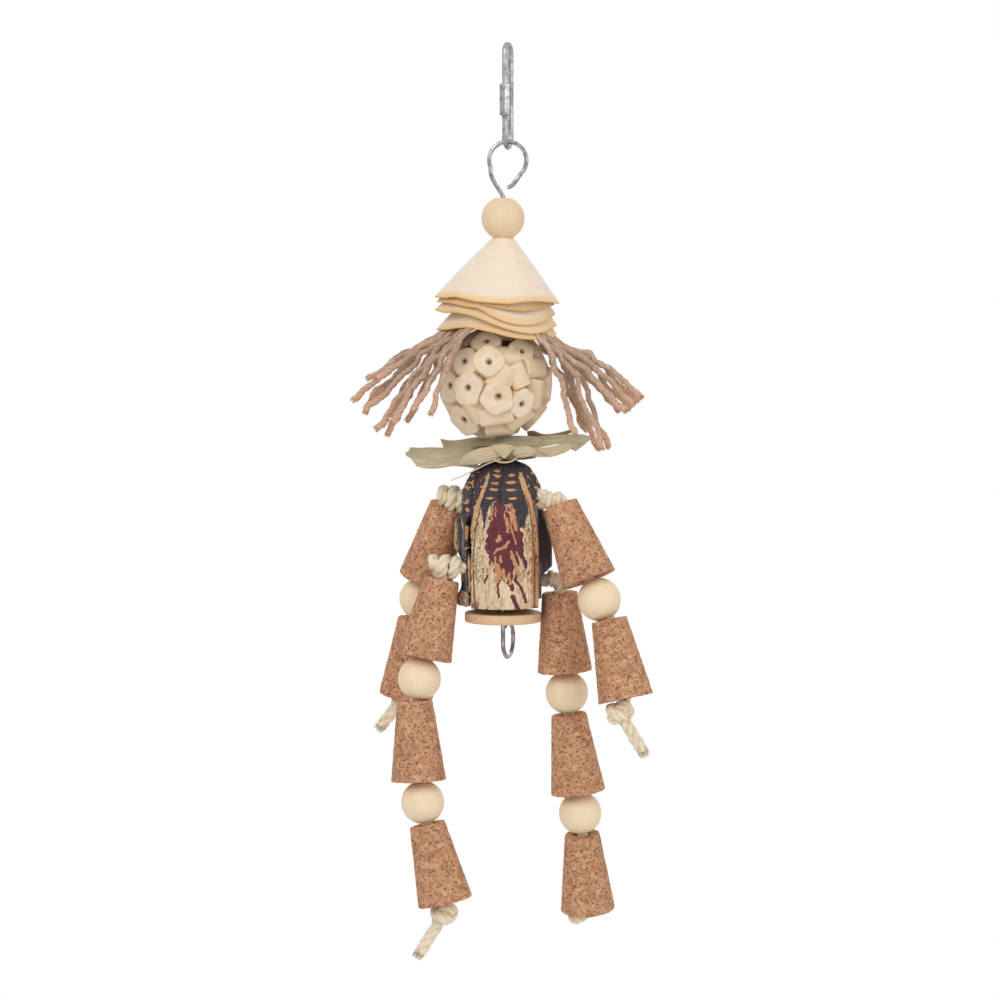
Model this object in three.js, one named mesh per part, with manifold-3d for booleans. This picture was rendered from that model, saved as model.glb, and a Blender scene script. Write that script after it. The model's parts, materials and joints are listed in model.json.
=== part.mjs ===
// A cork clown toy that hangs on a quick link: a wire carries a bead, a hat of wood-shaving cones,
// jute hair, a ball of cane slices, a palm-leaf collar, a pod body and a disc, and rope limbs carry
// corks and beads. Millimetres, +Z up, front towards -Y, origin inside the link's upper bow.

import * as THREE from 'three';
import Module from 'manifold-3d';
import { mergeVertices } from 'three/addons/utils/BufferGeometryUtils.js';

const wasm = await Module();
wasm.setup();

const DEG = Math.PI / 180;

// Fits: what touches keeps this gap, and a bore is wider than its wire by this much all round
const seat = 0.3;
const bore = 0.35;

// Quick link
const linkWire = 2.6;
const linkHeight = 50;
const linkSpacing = 10.5;
const linkYaw = -15;
const linkOpening = 8;
const linkSides = 8;
const sleeveLength = 14.7;
const sleeveWall = 0.95;
const sleeveBelowMiddle = 2.1;

// Centre wire with its two eyes
const wire = 2;
const wireSides = 7;
const eyeRadius = 8.6;
const eyeOffset = 2.2;
const eyeStart = -45;
const eyeEnd = 200;
const neckDrop = 17;
const lowerEyeRadius = 8.2;
const lowerEyeTurn = 308;
const lowerEyeYaw = 67;

// The wire's bends between its eye and its stem, and its open end: each point's share of the way
// out to the eye's side, and its share of the way down the neck
const neckBends = [[0.92, 0.4], [0.63, 0.63], [0.26, 0.83], [0.05, 0.94]];
const openEndBends = [[0.24, 0.73], [0.48, 0.69], [0.74, 0.54]];

// Wooden beads
const beadDiameter = 20;
const beadFlat = 0.4;
const beadSegments = 14;
const beadRows = 6;

// Hat of nested cones
const coneCount = 5;
const conePitch = 3.75;
const coneHeight = 28.8;
const coneTopRadius = 28.8;
const coneLowRadius = 27.5;
const coneFlatRadius = 4.5;
const coneWall = 0.8;
const coneWave = 0.7;
const coneLobes = 3;
const coneTurn = 0.5;
const coneSegments = 18;

// Hair of jute twine
const tieHeight = 23.5;
const tieRadius = 4.6;
const tieEdge = 1;
const strand = 2.2;
const strandSides = 5;
const strandSteps = 7;
const rootRing = 1.7;
const rootDepth = 14.6;
const strandUnderBrim = 1.2;
const strandCrest = 2.5;

// Ball of cane slices
const ballRadius = 25.4;
const ballOffset = -3.8;
const coreInset = 3.4;
const sliceDiameter = 13.5;
const sliceLength = 6;
const sliceCount = 34;
const sliceSides = 8;

// Palm-leaf collar
const leafThickness = 1.1;
const leafWidth = 21;
const leftLeafReach = 44;
const rightLeafReach = 41;
const leafRoot = 9;
const leafBend = 9;
const leafTipStart = 0.72;
const leafTipTaper = 0.75;
const leafTipPower = 1.6;
const leafRootTaper = 0.35;
const leftLeafDroop = 1.5;
const leftLeafFold = 0.75;
const rightLeafDroop = -0.4;
const rightLeafFold = 0.5;
const foldsRadius = 17;
const foldsHeight = 6.6;
const foldPleats = 7;
const foldDepth = 1.5;
const hubWall = 3;
const pleatStart = 0.7;

// Pod body: four valves round the wire
const podHeight = 70.5;
const podCrown = 10.8;
const podShoulder = 16.2;
const podWaist = 19.4;
const podFoot = 19.2;
const valveWall = 3.4;
const podBreast = 19;
const shoulderDown = 0.1;
const breastDown = 0.22;
const waistDown = 0.5;
const crownDepth = 11;
const crownRows = 1.3;
const frontValveHalf = 53;
const valveSeam = 0.6;
const throatSeam = 0.3;
const valveColumn = 9;
const valveRows = 8;
const frontValveShort = 2.8;
const sideValveShort = 3.5;
const rightValveShort = 6.5;
const rightValveInset = 1.4;
const insetDown = 1 / 3;

// Wooden disc under the pod
const discRadius = 17.8;
const discThickness = 4.4;
const discEdge = 0.9;
const discSegments = 28;

// Ropes and what is threaded on them
const rope = 5.5;
const ropeSides = 8;
const ropeTip = 0.15;
const threadClearance = 0.55;
const threadGap = 1.1;
const corkLength = 37;
const corkTopDiameter = 16.2;
const corkBottomDiameter = 25.4;
const corkEdge = 0.7;
const corkSegments = 14;
const knotRadius = 4.9;
const knotBulge = 1.05;
const knotGroove = 0.84;
const knotEnd = 0.72;
const endKnotRadius = 6.4;
const endKnotHeight = 10.4;
const shortKnotHeight = 5.6;
const shortKnotRadius = 5.2;

// Where the ropes leave the pod: the arms' rope passes in front of the wire, the legs' behind it
const armDropLeft = 16.8;
const armDropRight = 15.4;
const hipRiseLeft = 21;
const hipRiseRight = 13.5;
const legDropLeft = podHeight - hipRiseLeft;
const legDropRight = podHeight - hipRiseRight;
const ropePastWire = 4.4;
const ropeStraightEnd = 8.5;
const holeMiddle = 0.85;
const armKnotWidth = 8.6;
const legKnotWidth = 10.6;
const armKnotGap = 0.8;
const legKnotGap = 1.4;
const hipOutLeft = 1.2;

// How far the ropes leave beside the middle of the side valves: this much of a valve is left
// between a rope's hole and the valve's own edge, on its inner face
const ropeHoleWeb = 0.229;
const sideValveHalf = 90 - frontValveHalf;
const sideValveEdge = (podWaist - valveWall) * Math.sin(sideValveHalf * DEG);
const ropeOut = sideValveEdge - rope / 2 - bore - ropeHoleWeb;

// Colours and finishes
function finish(color, roughness, metalness = 0) {
  return new THREE.MeshStandardMaterial({ color, roughness, metalness });
}
const steel = finish('#a9acb0', 0.28, 1);
const corkFinish = finish('#b88a68', 0.92);
const beadWood = finish('#ecd8b4', 0.6);
const shaving = finish('#ead9bd', 0.75);
const jute = finish('#a8845f', 0.95);
const cane = finish('#e0d2b4', 0.8);
const palm = finish('#b8b08a', 0.8);
const podBark = finish('#8c7258', 0.85);
const discWood = finish('#d8ae80', 0.6);
const ropeFibre = finish('#e4d6b8', 0.95);

const toy = new THREE.Group();
toy.name = 'cork_clown_toy';

function part(parent, name, geometry, material) {
  const mesh = new THREE.Mesh(geometry, material);
  mesh.name = name;
  parent.add(mesh);
  return mesh;
}

function pivot(parent, name, x, y, z) {
  const group = new THREE.Group();
  group.name = name;
  group.position.set(x, y, z);
  parent.add(group);
  return group;
}

// Corners at one place become one corner, and faces that have lost their area go
function welded(geometry) {
  const bare = geometry.index ? geometry.toNonIndexed() : geometry.clone();
  bare.deleteAttribute('normal');
  bare.deleteAttribute('uv');
  const merged = mergeVertices(bare, 1e-4);
  const corners = merged.index.array;
  const kept = [];
  for (let i = 0; i < corners.length; i += 3) {
    const [a, b, c] = [corners[i], corners[i + 1], corners[i + 2]];
    if (a !== b && b !== c && c !== a) {
      kept.push(a, b, c);
    }
  }
  merged.setIndex(kept);
  return merged;
}

function solidOf(geometry) {
  const closed = welded(geometry);
  const mesh = new wasm.Mesh({
    numProp: 3,
    vertProperties: closed.attributes.position.array,
    triVerts: new Uint32Array(closed.index.array),
  });
  return new wasm.Manifold(mesh);
}

function geometryOf(solid) {
  const mesh = solid.getMesh();
  const geometry = new THREE.BufferGeometry();
  geometry.setAttribute('position', new THREE.BufferAttribute(mesh.vertProperties, 3));
  geometry.setIndex(new THREE.BufferAttribute(mesh.triVerts, 1));
  geometry.computeVertexNormals();
  return geometry;
}

function joined(geometries) {
  const [first, ...others] = geometries.map(solidOf);
  return geometryOf(others.reduce((sum, solid) => sum.add(solid), first));
}

function cut(geometry, cutters) {
  const body = solidOf(geometry);
  return geometryOf(cutters.map(solidOf).reduce((left, cutter) => left.subtract(cutter), body));
}

// A solid of revolution about Z, from [radius, height] points that run up the outside
function turned(profile, segments) {
  const points = profile.map(([radius, height]) => new THREE.Vector2(radius, height));
  return new THREE.LatheGeometry(points, segments).rotateX(Math.PI / 2);
}

function ringed(innerRadius, outside, segments) {
  const top = outside[outside.length - 1][1];
  const bottom = outside[0][1];
  const profile = [[innerRadius, bottom], ...outside, [innerRadius, top], [innerRadius, bottom]];
  return turned(profile, segments);
}

// A drill along Z for what the wire passes through
function wireDrill(length, sides) {
  const radius = wire / 2 + bore;
  return new THREE.CylinderGeometry(radius, radius, length, sides).rotateX(Math.PI / 2);
}

// A path whose rings fall on its own points, so bends have many and straights have few
class Route extends THREE.Curve {
  constructor(points) {
    super();
    this.points = points;
  }

  getPoint(t, target = new THREE.Vector3()) {
    const last = this.points.length - 1;
    const i = Math.min(Math.floor(t * last), last - 1);
    return target.lerpVectors(this.points[i], this.points[i + 1], t * last - i);
  }

  getTangentAt(u, target = new THREE.Vector3()) {
    const last = this.points.length - 1;
    const i = Math.round(u * last);
    const before = this.points[Math.max(i - 1, 0)];
    const after = this.points[Math.min(i + 1, last)];
    return target.subVectors(after, before).normalize();
  }

  getSpacedPoints() {
    return this.points;
  }
}

function tube(points, diameter, sides) {
  const section = new THREE.Shape();
  const turn = (2 * Math.PI) / sides;
  const corners = Array.from({ length: sides }, (_, i) => new THREE.Vector2(
    (diameter / 2) * Math.cos(i * turn),
    (diameter / 2) * Math.sin(i * turn),
  ));
  section.setFromPoints(corners);
  const steps = points.length - 1;
  return new THREE.ExtrudeGeometry(section, { extrudePath: new Route(points), steps, bevelEnabled: false });
}

// Points of an arc in the XZ plane, every 15 degrees or finer, with both ends
function arc(centreX, centreZ, radius, from, to, step = 15) {
  const count = Math.ceil(Math.abs(to - from) / step);
  return Array.from({ length: count + 1 }, (_, i) => {
    const angle = (from + ((to - from) * i) / count) * DEG;
    return new THREE.Vector3(centreX + radius * Math.cos(angle), 0, centreZ + radius * Math.sin(angle));
  });
}

// A thin closed solid: a box whose faces are divided, each corner put where place says.
// u and v run from 0 to 1 over the sheet, and w from 0 on its inside to 1 on its outside.
function sheet(across, along, place) {
  const box = new THREE.BoxGeometry(1, 1, 1, across, along, 1);
  const position = box.attributes.position;
  for (let i = 0; i < position.count; i += 1) {
    const u = position.getX(i) + 0.5;
    const v = position.getY(i) + 0.5;
    const w = position.getZ(i) + 0.5;
    const point = place(u, v, w);
    position.setXYZ(i, point.x, point.y, point.z);
  }
  return welded(box);
}

// Quick link: an open loop of wire whose gap a sleeve nut closes
const strandY = linkSpacing / 2;
const upperBow = linkWire / 2 - strandY;
const lowerBow = 1.5 * linkWire - linkHeight + strandY;
const sleeveLevel = (upperBow + lowerBow) / 2 - sleeveBelowMiddle;
const link = pivot(toy, 'link', 0, 0, 0);
link.rotation.z = linkYaw * DEG;

function makeLink() {
  const front = (z) => new THREE.Vector3(-strandY, 0, z);
  const path = [
    front(sleeveLevel + linkOpening / 2),
    ...arc(0, upperBow, strandY, 180, 0),
    ...arc(0, lowerBow, strandY, 0, -180),
    front(sleeveLevel - linkOpening / 2),
  ];
  const geometry = tube(path, linkWire, linkSides).rotateZ(Math.PI / 2);
  part(link, 'quick_link', geometry, steel);

  const nut = new THREE.Shape();
  const turn = Math.PI / 3;
  const corner = (linkWire / 2 + bore + sleeveWall) / Math.cos(turn / 2);
  nut.setFromPoints(Array.from({ length: 6 }, (_, i) => new THREE.Vector2(
    corner * Math.cos(i * turn),
    corner * Math.sin(i * turn),
  )));
  const hole = new THREE.Path();
  hole.absarc(0, 0, linkWire / 2 + bore, 0, 2 * Math.PI, true);
  nut.holes.push(hole);
  const sleeve = new THREE.ExtrudeGeometry(nut, {
    depth: sleeveLength,
    bevelEnabled: false,
    curveSegments: 8,
  });
  const mesh = part(link, 'link_sleeve', sleeve, steel);
  mesh.position.set(0, -strandY, sleeveLevel - sleeveLength / 2);
}
makeLink();

// Everything below the link swings on its lower bow
const bowLevel = lowerBow - strandY;
const swing = pivot(toy, 'swing', 0, 0, bowLevel);
const stack = pivot(swing, 'stack', -eyeOffset, 0, -bowLevel);

// Levels down the wire, each from the one above it
const eyeLevel = bowLevel + (linkWire + wire) / 2 + seat - eyeRadius;
const stemTop = eyeLevel - neckDrop;
const ropeBore = rope + 2 * threadClearance;
const beadHalfHeight = Math.sqrt((beadDiameter / 2) ** 2 - (ropeBore / 2 + beadFlat) ** 2);
const beadLevel = stemTop - seat - beadHalfHeight;
const hatTop = beadLevel - beadHalfHeight - seat;
const lastConeTop = hatTop - (coneCount - 1) * conePitch;
const tieTop = lastConeTop - coneWall - seat;
const ballReach = Math.hypot(ballRadius, sliceDiameter / 2);
const ballLevel = tieTop - tieHeight - seat - ballReach;
const foldsTop = ballLevel - ballReach - 2 * (leafThickness + seat) - seat;
const podTop = foldsTop - foldsHeight - seat;
const discTop = podTop - podHeight - seat;
const discBottom = discTop - discThickness;
const lowerEyeLevel = discBottom - lowerEyeRadius - wire / 2 - seat;

// The wire: upper eye with an open end, an S-bend, the stem, and a lower eye turned aside
function makeWire() {
  const upper = arc(eyeOffset, eyeLevel, eyeRadius, eyeStart, eyeEnd);
  const bends = (list, side) => list.map(([out, down]) => (
    new THREE.Vector3(out * side.x, 0, eyeLevel - down * neckDrop)
  ));
  const openEnd = bends(openEndBends, upper[0]);
  const neck = bends(neckBends, upper[upper.length - 1]);
  const stem = [new THREE.Vector3(0, 0, stemTop), new THREE.Vector3(0, 0, discBottom)];
  const lower = arc(lowerEyeRadius, lowerEyeLevel, lowerEyeRadius, 180, 180 + lowerEyeTurn);
  lower.forEach((corner) => corner.applyAxisAngle(new THREE.Vector3(0, 0, 1), lowerEyeYaw * DEG));
  const path = [...openEnd, ...upper, ...neck, ...stem, ...lower];
  part(stack, 'hanger_wire', tube(path, wire, wireSides), steel);
}
makeWire();

function bead() {
  const radius = beadDiameter / 2;
  const start = -Math.asin(beadHalfHeight / radius);
  const outside = Array.from({ length: beadRows + 1 }, (_, i) => {
    const angle = start + (-2 * start * i) / beadRows;
    return [radius * Math.cos(angle), radius * Math.sin(angle)];
  });
  return ringed(ropeBore / 2, outside, beadSegments);
}

const topBead = pivot(stack, 'top_bead_spin', 0, 0, beadLevel);
part(topBead, 'top_bead', bead(), beadWood);

// Hat: thin nested cones with a flat crown and a wavy brim
const hat = pivot(stack, 'hat_spin', 0, 0, hatTop);

// The cone's wall, measured straight down
function wallDrop(radius) {
  const slope = Math.hypot(radius - coneFlatRadius, coneHeight);
  return (coneWall * slope) / (radius - coneFlatRadius);
}

function cone(radius, turnOf) {
  const hole = wire / 2 + bore;
  const drop = wallDrop(radius);
  const profile = [
    [hole, -coneWall],
    [coneFlatRadius - coneWall / 2, -coneWall],
    [(radius + coneFlatRadius) / 2, -drop - coneHeight / 2],
    [radius, -drop - coneHeight],
    [radius, -coneHeight],
    [(radius + coneFlatRadius) / 2, -coneHeight / 2],
    [coneFlatRadius, 0],
    [hole, 0],
    [hole, -coneWall],
  ];
  const geometry = turned(profile, coneSegments);
  const position = geometry.attributes.position;
  for (let i = 0; i < position.count; i += 1) {
    const [x, y] = [position.getX(i), position.getY(i)];
    const reach = Math.max(Math.hypot(x, y) - coneFlatRadius, 0) / (radius - coneFlatRadius);
    const lift = coneWave * reach ** 2 * Math.sin(coneLobes * Math.atan2(y, x) + turnOf);
    position.setZ(i, position.getZ(i) + lift);
  }
  return welded(geometry);
}

for (let i = 0; i < coneCount; i += 1) {
  const share = i / (coneCount - 1);
  const radius = THREE.MathUtils.lerp(coneTopRadius, coneLowRadius, share);
  const mesh = part(hat, `hat_cone_${i + 1}`, cone(radius, coneTurn * i), shaving);
  mesh.position.z = -i * conePitch;
}

// Hair: a wound tie on the wire, and a half ring of roots on each side that its strands grow from
const hair = pivot(stack, 'hair_spin', 0, 0, tieTop);
const rootRadius = tieRadius + rootRing + seat;
const brimUnderside = lastConeTop - tieTop - coneHeight - wallDrop(coneLowRadius) - coneWave;
const strandExit = brimUnderside - strandUnderBrim - strand / 2;

function hairTie() {
  const hole = wire / 2 + bore;
  const outside = [
    [tieRadius - tieEdge, -tieHeight],
    [tieRadius, -tieHeight + tieEdge],
    [tieRadius, -tieEdge],
    [tieRadius - tieEdge, 0],
  ];
  return ringed(hole, outside, 12);
}

// Each strand leaves under the brim at an angle round the wire and ends at its own tip
function hairStrand(angle, tipX, tipY, tipDrop) {
  const out = new THREE.Vector3(Math.cos(angle * DEG), Math.sin(angle * DEG), 0);
  const root = out.clone().multiplyScalar(rootRadius).setZ(-rootDepth);
  const exit = out.clone().multiplyScalar(coneLowRadius).setZ(strandExit);
  const tip = new THREE.Vector3(tipX, tipY, -tipDrop);
  const inside = root.clone().lerp(exit, 0.5);
  inside.z += strandCrest;
  const middle = exit.clone().lerp(tip, 0.5);
  middle.z += strandCrest;
  const curve = new THREE.CatmullRomCurve3([root, inside, exit, middle, tip]);
  return tube(curve.getPoints(strandSteps), strand, strandSides);
}

function hairRoots(from, to) {
  const half = arc(0, 0, rootRadius, from, to, 20);
  return tube(half, 2 * rootRing, 6).rotateX(Math.PI / 2).translate(0, 0, -rootDepth);
}

part(hair, 'hair_tie', hairTie(), jute);
part(hair, 'hair_left', joined([
  hairRoots(102, 258),
  hairStrand(172, -63, 6, 50),
  hairStrand(184, -69.5, -3, 59.5),
  hairStrand(198, -63, -9, 65),
  hairStrand(160, -60, 12, 71.5),
  hairStrand(210, -53, -16, 74),
  hairStrand(148, -45, 17, 67),
  hairStrand(222, -38.5, -19, 64.5),
]), jute);
part(hair, 'hair_right', joined([
  hairRoots(-78, 78),
  hairStrand(4, 64, -2, 57),
  hairStrand(-8, 60, -8, 62.5),
  hairStrand(16, 55, 7, 65),
  hairStrand(-20, 49.5, -14, 80.5),
  hairStrand(28, 50, 16, 75),
  hairStrand(-32, 44.5, -21, 79),
  hairStrand(-44, 38, -20, 70),
]), jute);

// Ball: a core with cane slices set all over it, bored off its centre for the wire
const ball = pivot(stack, 'ball_spin', 0, 0, ballLevel);

function sliceBall() {
  const core = new THREE.SphereGeometry(ballRadius - coreInset, 14, 9);
  const slices = [core];
  const golden = Math.PI * (3 - Math.sqrt(5));
  for (let i = 0; i < sliceCount; i += 1) {
    const height = 1 - (2 * i) / (sliceCount - 1);
    const ring = Math.sqrt(1 - height * height);
    const aim = new THREE.Vector3(ring * Math.cos(golden * i), ring * Math.sin(golden * i), height);
    const slice = new THREE.CylinderGeometry(sliceDiameter / 2, sliceDiameter / 2, sliceLength, sliceSides);
    slice.applyQuaternion(new THREE.Quaternion().setFromUnitVectors(new THREE.Vector3(0, 1, 0), aim));
    const middle = aim.multiplyScalar(ballRadius - sliceLength / 2);
    slices.push(slice.translate(middle.x, middle.y, middle.z));
  }
  const body = joined(slices).translate(ballOffset, 0, 0);
  return cut(body, [wireDrill(3 * ballReach, 10)]);
}
part(ball, 'slice_ball', sliceBall(), cane);

// Collar: two folded palm leaves over a pleated hub
const collar = pivot(stack, 'collar_spin', 0, 0, foldsTop);

// The leaf lies flat over the hub, then drops and folds down on both sides of its midrib
function leaf(side, reach, level, droop, fold) {
  const place = (u, v, w) => {
    const along = -leafRoot + (reach + leafRoot) * u;
    const tip = Math.max(0, (along / reach - leafTipStart) / (1 - leafTipStart));
    const root = Math.max(0, -along / leafRoot);
    const taper = (1 - leafTipTaper * tip ** leafTipPower) * (1 - leafRootTaper * root);
    const half = (leafWidth / 2) * taper;
    const y = half * (2 * v - 1);
    const bent = THREE.MathUtils.smoothstep(along, foldsRadius, foldsRadius + leafBend);
    const drop = bent * (droop + fold * Math.abs(y));
    return { x: side * along, y: side * y, z: level + leafThickness * w - drop };
  };
  return cut(sheet(11, 4, place), [wireDrill(leafWidth, 8)]);
}

// The hub's section: each point's share of its radius, and its share of the way down
const hubOutside = [[pleatStart, 0.85], [1, 0.6], [1, 0.36], [pleatStart, 0.1]];

function pleatedHub() {
  const hole = wire / 2 + bore;
  const outside = [
    [hole + hubWall, -foldsHeight],
    ...hubOutside.map(([out, down]) => [out * foldsRadius, -down * foldsHeight]),
    [hole + hubWall, 0],
  ];
  const geometry = ringed(hole, outside, 4 * foldPleats);
  const position = geometry.attributes.position;
  for (let i = 0; i < position.count; i += 1) {
    const [x, y] = [position.getX(i), position.getY(i)];
    const radius = Math.hypot(x, y);
    const reach = Math.max(radius / foldsRadius - pleatStart, 0) / (1 - pleatStart);
    const pleat = foldDepth * reach * Math.cos(foldPleats * Math.atan2(y, x));
    position.setX(i, x * (1 + pleat / radius));
    position.setY(i, y * (1 + pleat / radius));
  }
  return welded(geometry);
}

part(collar, 'collar_folds', pleatedHub(), palm);
const leftLeaf = leaf(-1, leftLeafReach, seat, leftLeafDroop, leftLeafFold);
const rightLeaf = leaf(1, rightLeafReach, 2 * seat + leafThickness, rightLeafDroop, rightLeafFold);
part(collar, 'collar_leaf_left', leftLeaf, palm);
part(collar, 'collar_leaf_right', rightLeaf, palm);

// Pod: four woody valves, each an arc of a shell that closes in on the wire at its crown
const torso = pivot(stack, 'torso_spin', 0, 0, podTop);

const podOutline = new THREE.SplineCurve([
  new THREE.Vector2(podCrown, 0),
  new THREE.Vector2(podShoulder, shoulderDown * podHeight),
  new THREE.Vector2(podBreast, breastDown * podHeight),
  new THREE.Vector2(podWaist, waistDown * podHeight),
  new THREE.Vector2(podFoot, podHeight),
]);

// The share of the pod's height down to each row of corners, closer together at the crown
function podRow(down) {
  return down ** crownRows;
}

// A valve is this much shorter than the pod at its foot, and set in by this much below its crown
function valve(middle, half, short, inset) {
  const height = podHeight - short;
  const throat = wire / 2 + bore + seat;
  const place = (u, v, w) => {
    const share = podRow(1 - v) * (height / podHeight);
    const rim = podOutline.getPoint(outlineAt(share)).x - inset * Math.min(1, share / insetDown);
    const opened = Math.min(1, (share * podHeight) / crownDepth);
    const inner = THREE.MathUtils.lerp(throat, rim - valveWall, opened);
    const radius = THREE.MathUtils.lerp(inner, rim, w);
    const seam = Math.min(valveSeam / 2 / Math.max(radius, throat), throatSeam);
    const angle = middle * DEG + (2 * u - 1) * (half * DEG - seam);
    return { x: radius * Math.cos(angle), y: radius * Math.sin(angle), z: -share * podHeight };
  };
  return sheet(Math.round(half / valveColumn), valveRows, place);
}

// The curve's own parameter at a share of the pod's height
function outlineAt(share) {
  let [low, high] = [0, 1];
  for (let i = 0; i < 30; i += 1) {
    const middle = (low + high) / 2;
    if (podOutline.getPoint(middle).y < share * podHeight) {
      low = middle;
    } else {
      high = middle;
    }
  }
  return low;
}

// Ropes across the pod: straight and square to the side valves, with a bend past the wire between
function acrossPod(leftY, leftDrop, rightY, rightDrop, pastWire, leftEnd, rightEnd) {
  const inside = podWaist - ropeStraightEnd;
  const left = new THREE.Vector3(-inside, leftY, -leftDrop);
  const middle = new THREE.Vector3(0, pastWire, -(leftDrop + rightDrop) / 2);
  const right = new THREE.Vector3(inside, rightY, -rightDrop);
  const handle = new THREE.Vector3(inside / 2, 0, 0);
  const half = (from, to) => new THREE.CubicBezierCurve3(
    from,
    from.clone().add(handle),
    to.clone().sub(handle),
    to,
  ).getPoints(5);
  const first = new THREE.Vector3(leftEnd, leftY, -leftDrop);
  const last = new THREE.Vector3(rightEnd, rightY, -rightDrop);
  return [first, ...half(left, middle), ...half(middle, right).slice(1), last];
}

const armPivot = podWaist + armKnotGap + armKnotWidth / 2;
const legPivot = podWaist + legKnotGap + legKnotWidth / 2;
const legPivotLeft = legPivot + hipOutLeft;

// A limb's rope between its two knots, which stand leftOut and rightOut from the wire
function crossing(leftOut, rightOut, knotWidth, leftY, leftDrop, rightY, rightDrop, pastWire) {
  const short = knotWidth / 2 + seat;
  const path = acrossPod(
    leftY, leftDrop, rightY, rightDrop, pastWire, short - leftOut, rightOut - short,
  );
  return tube(path, rope, ropeSides);
}

function ropeHole(y, drop, side) {
  const radius = rope / 2 + bore;
  const drill = new THREE.CylinderGeometry(radius, radius, podWaist, 12);
  return drill.rotateZ(Math.PI / 2).translate(side * holeMiddle * podWaist, y, -drop);
}

function makePod() {
  const left = valve(180, sideValveHalf, sideValveShort, 0);
  const right = valve(0, sideValveHalf, rightValveShort, rightValveInset);
  const leftHoles = [ropeHole(ropeOut, armDropLeft, -1), ropeHole(-ropeOut, legDropLeft, -1)];
  const rightHoles = [ropeHole(-ropeOut, armDropRight, 1), ropeHole(ropeOut, legDropRight, 1)];
  part(torso, 'pod_valve_front', valve(-90, frontValveHalf, frontValveShort, 0), podBark);
  part(torso, 'pod_valve_back', valve(90, frontValveHalf, 0, 0), podBark);
  part(torso, 'pod_valve_left', cut(left, leftHoles), podBark);
  part(torso, 'pod_valve_right', cut(right, rightHoles), podBark);
  const armRope = crossing(
    armPivot, armPivot, armKnotWidth, ropeOut, armDropLeft, -ropeOut, armDropRight, -ropePastWire,
  );
  const legRope = crossing(
    legPivotLeft, legPivot, legKnotWidth, -ropeOut, legDropLeft, ropeOut, legDropRight, ropePastWire,
  );
  part(torso, 'arm_rope_cross', armRope, ropeFibre);
  part(torso, 'leg_rope_cross', legRope, ropeFibre);
}
makePod();

// Disc that the pod stands on
const disc = pivot(stack, 'disc_spin', 0, 0, discBottom);
const discOutside = [
  [discRadius - discEdge, 0],
  [discRadius, discEdge],
  [discRadius, discThickness - discEdge],
  [discRadius - discEdge, discThickness],
];
part(disc, 'base_disc', ringed(wire / 2 + bore, discOutside, discSegments), discWood);

// Threaded pieces, each with its top face at 0 and its length down -Z
function cork() {
  const top = corkTopDiameter / 2;
  const bottom = corkBottomDiameter / 2;
  const outside = [
    [bottom - corkEdge, -corkLength],
    [bottom, -corkLength + corkEdge],
    [top, -corkEdge],
    [top - corkEdge, 0],
  ];
  return ringed(ropeBore / 2, outside, corkSegments);
}

const pieces = {
  cork: { length: corkLength, shape: cork, material: corkFinish },
  bead: {
    length: 2 * beadHalfHeight,
    shape: () => bead().translate(0, 0, -beadHalfHeight),
    material: beadWood,
  },
};

// A length of rope with round ends, from start down to end along -Z
function ropeLength(start, end) {
  const straight = end - start - rope;
  const body = new THREE.CapsuleGeometry(rope / 2, straight, 2, ropeSides);
  return body.rotateX(Math.PI / 2).translate(0, 0, -(start + end) / 2);
}

// A knot as three turns side by side, about Z
function knot(width, radius) {
  const groove = knotGroove * radius;
  const profile = [
    [0, -width / 2],
    [knotEnd * radius, -width / 2],
    [radius, -width / 3],
    [groove, -width / 6],
    [knotBulge * radius, 0],
    [groove, width / 6],
    [radius, width / 3],
    [knotEnd * radius, width / 2],
    [0, width / 2],
  ];
  return turned(profile, 12);
}

function aim(group, lean, back) {
  const direction = new THREE.Vector3(Math.tan(lean * DEG), Math.tan(back * DEG), -1).normalize();
  group.quaternion.setFromUnitVectors(new THREE.Vector3(0, 0, -1), direction);
  return direction;
}

// The frayed end past a limb's last knot, on a bend of its own at the knot's side
function ropeTail(name, bend, place, below, ending) {
  const middle = new THREE.Vector3(ending.knotShift, 0, -below - seat - ending.knotHeight / 2);
  middle.applyQuaternion(bend.quaternion).add(place);
  const tail = pivot(torso, `${name}_tail_bend`, middle.x, middle.y, middle.z);
  const direction = aim(tail, ending.tailLean, ending.tailBack);
  tail.position.addScaledVector(direction, ending.tailReach);
  part(tail, `${name}_tail`, welded(ropeLength(-rope / 2, ending.tailLength)), ropeFibre);
}

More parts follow.
